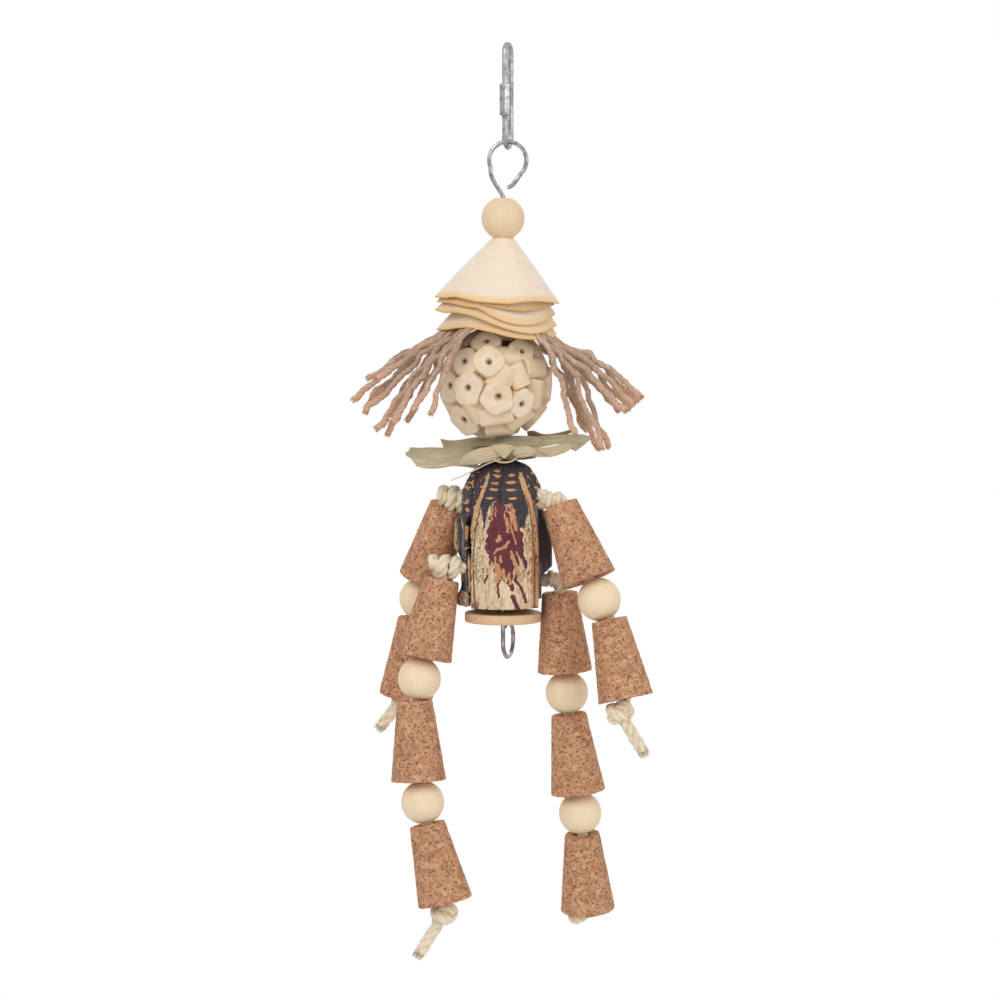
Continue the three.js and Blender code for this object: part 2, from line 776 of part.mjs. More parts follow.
// A limb: pieces threaded one below the other. Each link bends at the gap above its piece, and
// leans to the right and to the back by its own angles. The first hangs clear of its knot.
function limb(name, start, links, ending) {
  const place = start.clone();
  links.forEach(({ kind, label, lean, back }, i) => {
    const { length, shape, material } = pieces[kind];
    const first = i === 0;
    const last = i === links.length - 1;
    const top = first ? knotBulge * knotRadius + seat : threadGap / 2;
    const below = top + length;
    const bend = pivot(torso, `${name}_${label}_bend`, place.x, place.y, place.z);
    const direction = aim(bend, lean, back);
    let ropeStart = ropeTip;
    if (first) {
      ropeStart = ending.hipKnot ? 0 : top;
    }
    const ropeEnd = last ? below + ending.knotHeight / 2 : below + threadGap / 2 - ropeTip;
    const lengths = [ropeLength(ropeStart, ropeEnd)];
    if (first && ending.hipKnot) {
      const upright = bend.quaternion.clone().invert();
      lengths.push(knot(legKnotWidth, knotRadius).rotateY(Math.PI / 2).applyQuaternion(upright));
    }
    if (last) {
      const level = -below - seat - ending.knotHeight / 2;
      const ended = knot(ending.knotHeight, ending.knotRadius);
      lengths.push(ended.translate(ending.knotShift, 0, level));
    }
    part(bend, `${name}_rope_${label}`, joined(lengths), ropeFibre);
    const spin = pivot(bend, `${name}_${kind}_${label}_spin`, 0, 0, -top);
    part(spin, `${name}_${kind}_${label}`, shape(), material);
    if (last && ending.tailLean !== undefined) {
      ropeTail(name, bend, place, below, ending);
    }
    place.addScaledVector(direction, below + threadGap / 2);
  });
}

function armKnot(name, place) {
  const turning = pivot(torso, `${name}_knot_swing`, place.x, place.y, place.z);
  part(turning, `${name}_knot`, knot(armKnotWidth, knotRadius).rotateY(Math.PI / 2), ropeFibre);
}

const shoulderLeft = new THREE.Vector3(-armPivot, ropeOut, -armDropLeft);
const shoulderRight = new THREE.Vector3(armPivot, -ropeOut, -armDropRight);
const hipLeft = new THREE.Vector3(-legPivotLeft, -ropeOut, -legDropLeft);
const hipRight = new THREE.Vector3(legPivot, ropeOut, -legDropRight);
armKnot('arm_left', shoulderLeft);
armKnot('arm_right', shoulderRight);

const fullKnot = { knotHeight: endKnotHeight, knotRadius: endKnotRadius };
const shortKnot = { knotHeight: shortKnotHeight, knotRadius: shortKnotRadius };
const tailOfArmLeft = { tailReach: 6.8, tailLength: 12.8, tailLean: -38, tailBack: 4 };
const tailOfArmRight = { tailReach: 8.6, tailLength: 16.7, tailLean: 31, tailBack: -6 };
const tailOfLegLeft = { tailReach: 9.9, tailLength: 15.5, tailLean: -32, tailBack: -6 };

limb('arm_left', shoulderLeft, [
  { kind: 'cork', label: 'upper', lean: -16.5, back: 13 },
  { kind: 'bead', label: 'middle', lean: -14.5, back: 11 },
  { kind: 'cork', label: 'lower', lean: -7, back: 6 },
], { ...shortKnot, hipKnot: false, knotShift: -2, ...tailOfArmLeft });

limb('arm_right', shoulderRight, [
  { kind: 'cork', label: 'upper', lean: 21.5, back: -13 },
  { kind: 'bead', label: 'middle', lean: 27, back: -12 },
  { kind: 'cork', label: 'lower', lean: 12, back: -9 },
], { ...fullKnot, hipKnot: false, knotShift: -4.2, ...tailOfArmRight });

limb('leg_left', hipLeft, [
  { kind: 'cork', label: '1', lean: -12.5, back: -4 },
  { kind: 'bead', label: '2', lean: -13, back: -4 },
  { kind: 'cork', label: '3', lean: 2.8, back: -4 },
  { kind: 'bead', label: '4', lean: 11, back: -3 },
  { kind: 'cork', label: '5', lean: 13.3, back: -4 },
], { ...fullKnot, hipKnot: true, knotShift: -2, ...tailOfLegLeft });

limb('leg_right', hipRight, [
  { kind: 'cork', label: '1', lean: 4, back: 1 },
  { kind: 'bead', label: '2', lean: 5, back: 1 },
  { kind: 'cork', label: '3', lean: 7, back: 1 },
  { kind: 'bead', label: '4', lean: 5.5, back: 4 },
  { kind: 'cork', label: '5', lean: 4.5, back: 9 },
], { ...shortKnot, hipKnot: true, knotShift: -5 });

export default toy;
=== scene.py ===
"""Looks of the cork clown toy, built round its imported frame. Metres, +Z up, front towards -Y."""

import json
import math
import random

import bmesh
import bpy
from mathutils import Matrix, Vector, noise


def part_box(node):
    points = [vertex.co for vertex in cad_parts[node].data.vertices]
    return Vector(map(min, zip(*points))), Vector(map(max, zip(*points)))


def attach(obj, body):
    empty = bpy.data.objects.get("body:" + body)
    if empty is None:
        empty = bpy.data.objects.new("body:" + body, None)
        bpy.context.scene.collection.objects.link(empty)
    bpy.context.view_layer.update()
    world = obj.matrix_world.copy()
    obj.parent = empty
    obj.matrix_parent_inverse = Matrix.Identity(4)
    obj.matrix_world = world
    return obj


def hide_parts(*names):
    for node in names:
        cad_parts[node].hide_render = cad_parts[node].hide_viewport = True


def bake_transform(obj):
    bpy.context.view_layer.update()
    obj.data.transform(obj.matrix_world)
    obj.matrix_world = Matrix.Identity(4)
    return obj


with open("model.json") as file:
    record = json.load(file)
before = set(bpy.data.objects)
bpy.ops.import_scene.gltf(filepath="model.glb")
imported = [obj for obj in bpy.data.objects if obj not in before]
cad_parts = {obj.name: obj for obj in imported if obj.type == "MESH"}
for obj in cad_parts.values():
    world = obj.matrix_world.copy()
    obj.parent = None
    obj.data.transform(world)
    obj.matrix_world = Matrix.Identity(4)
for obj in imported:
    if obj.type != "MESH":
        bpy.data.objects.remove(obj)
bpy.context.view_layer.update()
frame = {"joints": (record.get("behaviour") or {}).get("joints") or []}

MM = 0.001
UP = Vector((0, 0, 1))
STEM_X = -2.2

# Where the camera stands: millimetres, degrees, and the millimetres that one pixel covers
TARGET = Vector((-3.6, 0, -209.25))
CAMERA_AWAY = 1500
CAMERA_RISE = math.radians(4.5)
PIXEL = 0.465
IMAGE = 1000
SENSOR = 36

joints = {joint["name"]: joint for joint in frame["joints"]}


# Places and paths, in millimetres


def seen(px, py, depth=0.0):
    """The point at a depth behind the wire that the camera shows at a pixel of its picture."""
    across = (px - IMAGE / 2) * PIXEL
    up = (IMAGE / 2 - py) * PIXEL
    rise, fall = math.cos(CAMERA_RISE), math.sin(CAMERA_RISE)
    height = up * (CAMERA_AWAY + depth * rise) / CAMERA_AWAY - depth * fall
    height /= rise + up * fall / CAMERA_AWAY
    away = CAMERA_AWAY + depth * rise - height * fall
    return Vector((TARGET.x + across * away / CAMERA_AWAY, depth, TARGET.z + height))


def pixel_of(point):
    """The pixel at which the camera shows a point, the other way round from seen."""
    away = point - TARGET
    rise, fall = math.cos(CAMERA_RISE), math.sin(CAMERA_RISE)
    scale = CAMERA_AWAY / (CAMERA_AWAY + away.y * rise - away.z * fall) / PIXEL
    return IMAGE / 2 + away.x * scale, IMAGE / 2 - (away.z * rise + away.y * fall) * scale


def through(points, x):
    """The height at x of a smooth line through points that run from left to right."""
    last = len(points) - 1
    i = min(max(sum(1 for point in points if point[0] <= x) - 1, 0), last - 1)
    (xa, ya), (xb, yb) = points[i], points[i + 1]
    before, after = points[max(i - 1, 0)], points[min(i + 2, last)]
    wide = xb - xa
    t = min(1.0, max(0.0, (x - xa) / wide))
    rise_a = (yb - before[1]) / (xb - before[0]) * wide
    rise_b = (after[1] - ya) / (after[0] - xa) * wide
    return (ya * (1 + 2 * t) + rise_a * t) * (1 - t) ** 2 + (yb * (3 - 2 * t) + rise_b * (t - 1)) * t * t


def drift(x, y, z):
    """Smooth noise at a place, about -1 to 1 and the same each time."""
    return noise.noise(Vector((x, y, z)))


def joint_place(name):
    return Vector(joints[name]["pos_m"]) / MM


def joint_axis(name):
    return Vector(joints[name]["axis"]).normalized()


def box_middle(name):
    """The middle of a solid's box."""
    low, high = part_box(name)
    return (low + high) / 2 / MM


def smooth_path(points, spacing):
    """A Catmull-Rom curve through the points, as points at an even spacing."""
    points = [Vector(p) for p in points]
    fine = []
    for i in range(len(points) - 1):
        a = points[max(i - 1, 0)]
        b, c = points[i], points[i + 1]
        d = points[min(i + 2, len(points) - 1)]
        steps = max(4, int((c - b).length / spacing * 3))
        for k in range(steps):
            t = k / steps
            fine.append(
                0.5 * (2 * b + (c - a) * t + (2 * a - 5 * b + 4 * c - d) * t * t
                       + (3 * b - a - 3 * c + d) * t ** 3)
            )
    fine.append(points[-1])
    return even_path(fine, spacing)


def even_path(points, spacing):
    """The same line with its points an even spacing apart."""
    length = path_length(points)
    count = max(2, round(length / spacing))
    step = length / count
    out, gone, target = [points[0].copy()], 0.0, step
    for a, b in zip(points, points[1:]):
        piece = (b - a).length
        while piece > 0 and gone + piece >= target - 1e-9 and len(out) < count:
            out.append(a.lerp(b, (target - gone) / piece))
            target += step
        gone += piece
    out.append(points[-1].copy())
    return out


def path_length(points):
    return sum((b - a).length for a, b in zip(points, points[1:]))


def arc(centre, across, up, radius, start, end, step=6):
    """Points of an arc in the plane of two directions, from one angle to another in degrees."""
    count = max(2, math.ceil(abs(end - start) / step))
    angles = [math.radians(start + (end - start) * i / count) for i in range(count + 1)]
    return [centre + radius * (math.cos(a) * across + math.sin(a) * up) for a in angles]


def carried_frames(points):
    """Each point of a path with how far along it lies, the path's direction there, and two
    directions square to it that don't twist."""
    frames = []
    normal = None
    far = 0.0
    for i, point in enumerate(points):
        if i:
            far += (point - points[i - 1]).length
        ahead = points[min(i + 1, len(points) - 1)] - points[max(i - 1, 0)]
        ahead.normalize()
        if normal is None:
            normal = ahead.orthogonal()
        normal = (normal - ahead * normal.dot(ahead)).normalized()
        frames.append((point, far, ahead, normal, ahead.cross(normal)))
    return frames


# Meshes


def nothing_selected():
    if bpy.context.object and bpy.context.object.mode != "OBJECT":
        bpy.ops.object.mode_set(mode="OBJECT")
    bpy.ops.object.select_all(action="DESELECT")


def only(obj):
    nothing_selected()
    obj.select_set(True)
    bpy.context.view_layer.objects.active = obj
    return obj


def added(name):
    """The object that an add operator has just made, under its own name."""
    obj = bpy.context.object
    obj.name = obj.data.name = name
    return obj


def shape(operator, name, **settings):
    """A new object that an add operator makes, under its own name."""
    nothing_selected()
    operator(**settings)
    return added(name)


def placed(obj, matrix=None):
    """Moves the mesh, given in millimetres, to its place in metres, with its object at the origin."""
    only(obj)
    bpy.ops.object.transform_apply(location=True, rotation=True, scale=True)
    obj.data.transform(Matrix.Scale(MM, 4) @ (matrix or Matrix.Identity(4)))
    return obj


def given(thing, settings):
    for key, value in settings.items():
        setattr(thing, key, value)
    return thing


def modified(obj, kind, **settings):
    modifier = given(obj.modifiers.new(kind.lower(), kind), settings)
    only(obj)
    bpy.ops.object.modifier_apply(modifier=modifier.name)
    return obj


def bevelled(obj, width, segments, sharp):
    """Rounds the edges that are sharper than an angle in degrees."""
    return modified(
        obj, "BEVEL", width=width, segments=segments, limit_method="ANGLE", angle_limit=math.radians(sharp),
    )


def smoothed(obj, angle=None):
    only(obj)
    if angle is None:
        bpy.ops.object.shade_smooth()
    else:
        bpy.ops.object.shade_smooth_by_angle(angle=math.radians(angle))
    return obj


def turned_outwards(obj):
    only(obj)
    bpy.ops.object.mode_set(mode="EDIT")
    bpy.ops.mesh.select_all(action="SELECT")
    bpy.ops.mesh.normals_make_consistent(inside=False)
    bpy.ops.object.mode_set(mode="OBJECT")
    return obj


def copied(obj, name):
    """A copy with a mesh of its own."""
    twin = obj.copy()
    twin.data = obj.data.copy()
    twin.name = twin.data.name = name
    bpy.context.scene.collection.objects.link(twin)
    return twin


def joined(name, objects):
    """Several objects as one, under a new name."""
    nothing_selected()
    for obj in objects:
        obj.select_set(True)
    bpy.context.view_layer.objects.active = objects[0]
    if len(objects) > 1:
        bpy.ops.object.join()
    return added(name)


def pick(mesh, faces=None, edges=None):
    """Selects the faces or edges of an edit mesh that a test accepts."""
    for part in (mesh.verts, mesh.edges, mesh.faces):
        for element in part:
            element.select = False
    mesh.select_mode = {"FACE"} if faces else {"EDGE"}
    for element in mesh.faces if faces else mesh.edges:
        if (faces or edges)(element):
            element.select_set(True)
    mesh.select_flush_mode()


def edited(obj, steps):
    """Runs steps on an object in edit mode. A step gets the edit mesh and selects or operates."""
    only(obj)
    bpy.ops.object.mode_set(mode="EDIT")
    for step in steps:
        mesh = bmesh.from_edit_mesh(obj.data)
        mesh.faces.ensure_lookup_table()
        step(mesh)
        bmesh.update_edit_mesh(obj.data)
    bpy.ops.object.mode_set(mode="OBJECT")
    return obj


def insets(steps):
    return [lambda mesh, thickness=step: bpy.ops.mesh.inset(thickness=thickness) for step in steps]


def bored(obj, ends, steps, **bridge):
    """Insets the end faces, opens the innermost ones and joins the two openings through the piece."""
    edited(obj, [
        lambda mesh: pick(mesh, faces=ends),
        *insets(steps),
        lambda mesh: bpy.ops.mesh.delete(type="FACE"),
        lambda mesh: pick(mesh, edges=lambda edge: edge.is_boundary),
        lambda mesh: bpy.ops.mesh.bridge_edge_loops(**bridge),
    ])


def flat_end(face):
    return abs(face.normal.z) > 0.9


def reshaped(obj, keys, place):
    """Moves each corner to the first thing that place gives, and keeps the others under their keys."""
    mesh = bmesh.new()
    mesh.from_mesh(obj.data)
    layers = [mesh.verts.layers.float.new(key) for key in keys]
    for vertex in mesh.verts:
        vertex.co, *kept = place(vertex.co)
        for layer, value in zip(layers, kept):
            vertex[layer] = value
    mesh.to_mesh(obj.data)
    mesh.free()


YARN_RIDGE = 0.08
YARN_LAY = 0.6


class Weave:
    """Collects tubes that follow paths, in millimetres, and makes one mesh of them.
    Each corner keeps how far along its tube it lies and how far it is round it, for the finish."""

    def __init__(self):
        self.corners = []
        self.faces = []
        self.along = []
        self.reach = []

    def tube(self, points, radius, sides, ridges=0, ridge=0.0, lay=1.0, reach=(0.0, 1.0), flat=1.0):
        """radius is a number or a function of the share along the path; ridges run round it."""
        frames = carried_frames(points)
        size = radius if callable(radius) else (lambda share: radius)
        first = len(self.corners)
        last = len(frames) - 1
        for i, (point, far, _, normal, side) in enumerate(frames):
            share = i / last
            for k in range(sides):
                angle = 2 * math.pi * k / sides
                wide = size(share) * (1 + ridge * math.cos(ridges * angle + 2 * math.pi * far / lay))
                out = math.cos(angle) * normal + flat * math.sin(angle) * side
                self.corners.append(point + wide * out)
                self.along.append((far, k / sides))
                self.reach.append(reach[0] + (reach[1] - reach[0]) * share)
        for i in range(last):
            for k in range(sides):
                a = first + i * sides + k
                b = first + i * sides + (k + 1) % sides
                self.faces.append((a, b, b + sides, a + sides))
        self.faces.append(tuple(first + k for k in reversed(range(sides))))
        self.faces.append(tuple(first + last * sides + k for k in range(sides)))

    def strands(self, points, diameter, count, lay, sides, share, phase=0.0, yarns=0, loose=None):
        """Twists strands round a path, each a share of the diameter thick. loose gives how far they
        open out, by how far along the path they are."""
        radius = diameter / 2 * share
        frames = carried_frames(points)
        for n in range(count):
            line = []
            for i, (point, far, _, normal, side) in enumerate(frames):
                turn = phase + 2 * math.pi * (n / count + far / lay)
                out = diameter / 2 - radius
                if loose:
                    out *= loose(i / (len(frames) - 1))
                line.append(point + out * (math.cos(turn) * normal + math.sin(turn) * side))
            self.tube(line, radius, sides, yarns, YARN_RIDGE if yarns else 0.0, lay * YARN_LAY)

    def fuzz(self, points, diameter, count, length, lift, thick, draw, reach=(0.0, 1.0)):
        """Loose fibres that leave the surface of a rope or twine and curl back along it."""
        frames = carried_frames(points)
        for _ in range(count):
            at = draw.randrange(len(frames))
            point, _, ahead, normal, side = frames[at]
            turn = draw.uniform(0, 2 * math.pi)
            out = math.cos(turn) * normal + math.sin(turn) * side
            way = ahead * draw.choice((-1, 1)) + ahead.cross(out) * draw.uniform(-0.6, 0.6)
            long_ = length * draw.uniform(0.5, 1.2)
            up = lift * draw.uniform(0.2, 1.0)
            start = point + out * diameter * 0.42
            bend = start + way * long_ * 0.4 + out * up * 0.8
            tip = start + way * long_ * 0.85 + out * up * draw.uniform(0.2, 1.2)
            line = [start, start.lerp(bend, 0.5) + out * up * 0.3, bend, tip]
            value = reach[0] + (reach[1] - reach[0]) * at / (len(frames) - 1)
            self.tube(line, lambda s: thick * (1 - 0.7 * s), 3, reach=(value, value))

    def brush(self, point, ahead, count, length, spread, start, thick, draw, curl):
        """Frayed fibres that fan out from the end of a rope or twine."""
        normal = ahead.orthogonal().normalized()
        side = ahead.cross(normal)
        for _ in range(count):
            turn = draw.uniform(0, 2 * math.pi)
            out = math.cos(turn) * normal + math.sin(turn) * side
            width = math.sqrt(draw.random())
            root = point + out * start * width - ahead * length * 0.25
            long_ = length * draw.uniform(0.55, 1.0)
            end = point + out * (start + (spread - start) * draw.uniform(0.2, 1.0)) * width
            end += ahead * long_
            bow = Vector([draw.uniform(-1, 1) for _ in range(3)]) * curl
            line = [root, root.lerp(end, 0.35) + bow * 0.4, root.lerp(end, 0.7) + bow, end]
            self.tube(line, lambda s: thick * (1 - 0.6 * s), 3, reach=(1.0, 1.0))

    def made(self, name):
        mesh = bpy.data.meshes.new(name)
        mesh.from_pydata([corner * MM for corner in self.corners], [], self.faces)
        layer = mesh.uv_layers.new(name="along")
        for loop in mesh.loops:
            layer.data[loop.index].uv = self.along[loop.vertex_index]
        attribute = mesh.attributes.new("reach", "FLOAT", "POINT")
        attribute.data.foreach_set("value", self.reach)
        obj = bpy.data.objects.new(name, mesh)
        bpy.context.scene.collection.objects.link(obj)
        return smoothed(obj)


WIRE_ROUNDNESS = 6


def wire_piece(name, points, diameter):
    """A bent wire as a curve with a round section, made a mesh."""
    nothing_selected()
    bpy.ops.curve.primitive_nurbs_path_add()
    obj = added(name)
    curve = obj.data
    curve.splines.clear()
    spline = curve.splines.new("POLY")
    spline.points.add(len(points) - 1)
    for place, point in zip(spline.points, points):
        place.co = (*point, 1)
    curve.bevel_depth = diameter / 2
    curve.bevel_resolution = WIRE_ROUNDNESS
    curve.use_fill_caps = True
    only(obj)
    bpy.ops.object.convert(target="MESH")
    obj = placed(bpy.context.object)
    modified(obj, "WELD", merge_threshold=1e-7)
    return smoothed(obj, 40)


# Finishes: shader maths


def colour(red, green, blue):
    """A colour as a screen shows it, 0 to 255, in the shader's own values."""
    def straight(c):
        c /= 255
        return c / 12.92 if c <= 0.04045 else ((c + 0.055) / 1.055) ** 2.4
    return (straight(red), straight(green), straight(blue), 1)


class Value:
    """A socket of numbers that takes Python's arithmetic."""

    def __init__(self, finish, socket):
        self.finish = finish
        self.socket = socket

    def _maths(self, operation, left, right):
        return self.finish.node("ShaderNodeMath", {"operation": operation}, {0: left, 1: right})

    def __add__(self, other):
        return self._maths("ADD", self, other)

    __radd__ = __add__

    def __sub__(self, other):
        return self._maths("SUBTRACT", self, other)

    def __rsub__(self, other):
        return self._maths("SUBTRACT", other, self)

    def __mul__(self, other):
        return self._maths("MULTIPLY", self, other)

    __rmul__ = __mul__

    def __abs__(self):
        return self.finish.node("ShaderNodeMath", {"operation": "ABSOLUTE"}, {0: self})


class Finish:
    """A material with the Principled shader, and short ways to add its nodes.
    Colours are given as a screen shows them, 0 to 255, and places in millimetres."""

    def __init__(self, name, base, roughness=0.7, metallic=0.0, sheen=0.0, specular=0.4):
        self.material = bpy.data.materials.new(name)
        self.material.use_nodes = True
        self.tree = self.material.node_tree
        self.shader = self.tree.nodes["Principled BSDF"]
        self.shader.inputs["Roughness"].default_value = roughness
        self.shader.inputs["Metallic"].default_value = metallic
        self.shader.inputs["Sheen Weight"].default_value = sheen
        self.shader.inputs["Specular IOR Level"].default_value = specular
        self.base = base
        self.height = None

    def node(self, kind, settings=None, values=None, output=0):
        node = given(self.tree.nodes.new(kind), settings or {})
        for key, value in (values or {}).items():
            self.plug(value, node.inputs[key])
        return Value(self, node.outputs[output])

    def plug(self, value, socket):
        if isinstance(value, Value):
            self.tree.links.new(value.socket, socket)
        else:
            socket.default_value = value

    def mapped(self, spot, scale, turn=(0, 0, 0), shift=(0, 0, 0)):
        return self.node("ShaderNodeMapping", None, {
            "Vector": spot, "Scale": scale, "Rotation": turn, "Location": shift,
        })

    def place(self, scale=(1, 1, 1), turn=(0, 0, 0), shift=(0, 0, 0)):
        """Object coordinates in millimetres, stretched and turned."""
        spot = self.node("ShaderNodeTexCoord", output="Object")
        spot = self.node("ShaderNodeVectorMath", {"operation": "SCALE"}, {0: spot, "Scale": 1 / MM})
        return self.mapped(spot, scale, turn, shift)

    def along(self, scale):
        return self.mapped(self.node("ShaderNodeUVMap", {"uv_map": "along"}), scale)

    def spot(self, x, y):
        return self.node("ShaderNodeCombineXYZ", None, {0: x, 1: y})

    def kept(self, name):
        return self.node("ShaderNodeAttribute", {"attribute_name": name}, output="Fac")

    def clouds(self, place, scale, detail=3.0, rough=0.55, warp=0.0):
        return self.node("ShaderNodeTexNoise", None, {
            "Vector": place, "Scale": scale, "Detail": detail, "Roughness": rough, "Distortion": warp,
        })

    def cells(self, place, scale=1.0, feature="F1", output="Distance"):
        return self.node(
            "ShaderNodeTexVoronoi", {"feature": feature}, {"Vector": place, "Scale": scale}, output,
        )

    def chances(self, place, scale=1.0):
        """A number for each cell that has nothing to do with its neighbours'."""
        return self.node("ShaderNodeSeparateColor", None, {0: self.cells(place, scale, output="Color")})

    def ramp(self, value, *stops):
        ramp = self.node("ShaderNodeValToRGB", None, {0: value})
        elements = ramp.socket.node.color_ramp.elements
        while len(elements) < len(stops):
            elements.new(1)
        for element, (position, shade) in zip(elements, stops):
            element.position = position
            element.color = colour(*shade)
        return ramp

    def between(self, value, low, high):
        """0 at low and 1 at high, and straight between."""
        return self.node("ShaderNodeMapRange", {"clamp": True}, {
            "Value": value, "From Min": low, "From Max": high,
        })

    def mix(self, share, first, second):
        shades = [colour(*shade) if isinstance(shade, tuple) else shade for shade in (first, second)]
        return self.node("ShaderNodeMix", {"data_type": "RGBA"}, {0: share, 6: shades[0], 7: shades[1]}, 2)

    def lay(self, share, shade):
        """Lays a shade over the base, by a share from 0 to 1."""
        self.base = self.mix(share, self.base, shade)

    def over(self, value, low, high, shade, most=None):
        """Lays a shade over the base where a value passes from low to high."""
        share = self.between(value, low, high)
        self.lay(share if most is None else share * most, shade)

    def bump(self, height, distance, strength):
        """Adds relief of a distance in millimetres."""
        values = {"Height": height, "Distance": distance * MM, "Strength": strength}
        if self.height is not None:
            values["Normal"] = self.height
        self.height = self.node("ShaderNodeBump", None, values)

    def done(self, roughness=None):
        for key, value in (("Base Color", self.base), ("Normal", self.height), ("Roughness", roughness)):
            if value is not None:
                self.plug(value, self.shader.inputs[key])
        return self.material


def steel_finish(name, light, dark, roughness):
    """Steel with faint scratches, and darker, duller patches that are painted reflection: the dark streaks
    that the steel would mirror.
    """
    finish = Finish(name, light, roughness, metallic=1.0)
    painted_reflection_patches = finish.clouds(finish.place(), 0.35, 4, 0.6)
    scratches = finish.clouds(finish.place((3, 3, 0.3)), 1.6, 3, 0.7)
    finish.bump(scratches, 0.02, 0.4)
    # Painted reflection: darker patches stand in for the dark streaks that the steel would mirror
    finish.over(painted_reflection_patches, 0.42, 0.68, dark)
    return finish.done(roughness + 0.22 * finish.between(painted_reflection_patches, 0.45, 0.7))


def wood_finish(name, light, dark, grain_share, roughness):
    """Turned wood: streaks of grain, fine pores and a broad change of tone."""
    finish = Finish(name, light, roughness, specular=0.35)
    grain = finish.clouds(finish.place((1.4, 1.4, 0.10)), 1.2, 4, 0.6, 0.4)
    pores = finish.clouds(finish.place((5, 5, 0.35)), 1.5, 2, 0.7)
    broad = finish.clouds(finish.place((0.25, 0.25, 0.06)), 1.0, 2, 0.5)
    finish.over(grain, 0.35, 0.7, dark, grain_share)
    finish.over(pores, 0.62, 0.78, dark, 0.35)
    finish.over(broad, 0.4, 0.7, dark, 0.25)
    finish.bump(pores, 0.05, 0.35)
    return finish.done(finish.between(grain, 0.2, 0.9) * 0.15 + roughness)


def cork_finish():
    """Pressed cork: granules of two sizes, a darker line round each, and small slanted dark pits."""
    finish = Finish("cork grain", None, 0.9, specular=0.2)
    place = finish.place()
    warp = finish.node("ShaderNodeTexNoise", None, {"Vector": place, "Scale": 1.1, "Detail": 2}, 1)
    bent = finish.node(
        "ShaderNodeVectorMath", {"operation": "MULTIPLY_ADD"}, {0: warp, 1: (0.9, 0.9, 0.9), 2: place},
    )
    tone = 0.5 * finish.chances(bent, 0.45) + 0.5 * finish.chances(bent, 1.15)
    edges = finish.cells(bent, 0.45, "DISTANCE_TO_EDGE")
    fine = finish.clouds(place, 2.6, 3, 0.7)
    broad = finish.clouds(place, 0.16, 2, 0.5)
    finish.base = finish.ramp(
        tone,
        (0.12, (224, 176, 138)), (0.4, (204, 156, 120)), (0.65, (190, 138, 102)), (0.92, (158, 108, 80)),
    )
    finish.over(fine, 0.48, 0.74, (168, 120, 92), 0.4)
    finish.over(broad, 0.4, 0.65, (182, 136, 108), 0.3)
    finish.lay((1 - finish.between(edges, 0.0, 0.06)) * 0.3, (132, 90, 68))
    pits = 0.0
    for slant, share in ((35, 0.4), (-25, 0.55)):
        sloped = finish.mapped(finish.place(turn=(0.3, math.radians(slant), 0.2)), (0.42, 0.5, 1.1))
        marks = finish.cells(sloped) + 0.7 * (fine - 0.5)
        chosen = finish.between(finish.chances(sloped), share, share + 0.05)
        pits = pits + (1 - finish.between(marks, 0.18, 0.32)) * chosen
    finish.over(pits, 0.1, 0.9, (96, 62, 48), 0.85)
    finish.bump(fine, 0.14, 0.5)
    finish.bump(edges, 0.25, 0.4)
    finish.bump(1 - pits, 0.25, 0.6)
    return finish.done()


def fibre_finish(name, light, dark, lay, tip=None, sheen=0.3):
    """Twisted fibre: streaks that run with the strand, and a colour of its own at frayed ends."""
    finish = Finish(name, light, 0.85, sheen=sheen, specular=0.25)
    streaks = finish.clouds(finish.along((0.35, lay, 1)), 1.0, 4, 0.65)
    broad = finish.clouds(finish.place(), 0.18, 2, 0.5)
    fine = finish.clouds(finish.place(), 2.2, 2, 0.6)
    finish.over(streaks, 0.35, 0.68, dark)
    finish.over(broad, 0.4, 0.65, dark, 0.45)
    finish.over(fine, 0.5, 0.8, light, 0.3)
    if tip:
        finish.over(finish.kept("reach"), 0.78, 1.0, tip, 0.75)
    finish.bump(streaks, 0.15, 0.7)
    return finish.done()


def shaving_finish():
    """Wood shaving: faint growth bands round the cone, and a golden band along its rim."""
    finish = Finish("wood shaving", (240, 226, 206), 0.62, specular=0.3, sheen=0.1)
    rim = finish.kept("rim")
    turn = finish.kept("turn")
    wander = finish.clouds(finish.place((0.12, 0.12, 0.12)), 1.0, 2, 0.5)
    bands = finish.clouds(finish.spot(turn * 2, rim * 0.35), 1.0, 3, 0.5, 0.3)
    grain = finish.clouds(finish.spot(turn * 70, rim * 0.25), 1.0, 3, 0.6)
    spot = rim + 1.6 * (wander - 0.5) + 0.5 * (grain - 0.5)
    finish.over(bands, 0.35, 0.75, (234, 212, 184), 0.6)
    finish.over(wander, 0.42, 0.7, (234, 210, 190), 0.5)
    finish.over(grain, 0.52, 0.78, (222, 198, 164), 0.2)
    finish.over(spot, 4.4, 2.4, (236, 204, 150), 0.85)
    finish.over(spot, 1.9, 0.4, (222, 178, 118), 0.45)
    finish.over(rim, 0.5, 0.3, (206, 158, 104), 0.55)
    finish.bump(bands, 0.1, 0.3)
    finish.bump(grain, 0.04, 0.4)
    return finish.done()


def cane_finish():
    """Cane slices: pale cut faces with fine pores, a darker ring where a slice ends, and dark pith."""
    finish = Finish("cane slices", (240, 222, 196), 0.8, specular=0.2)
    place = finish.place()
    pores = finish.clouds(place, 3.2, 2, 0.6)
    broad = finish.clouds(place, 0.13, 3, 0.55)
    soft_spots = finish.clouds(place, 0.5, 3, 0.6)
    finish.over(broad, 0.38, 0.66, (228, 206, 176))
    finish.over(soft_spots, 0.5, 0.78, (220, 196, 162), 0.35)
    finish.over(pores, 0.58, 0.74, (206, 178, 144), 0.22)
    finish.over(finish.kept("rind"), 0.85, 1.0, (222, 194, 156), 0.4)
    finish.over(finish.kept("pith"), 0.5, 1.0, (112, 76, 46))
    finish.bump(pores, 0.06, 0.4)
    finish.bump(soft_spots, 0.25, 0.3)
    return finish.done()


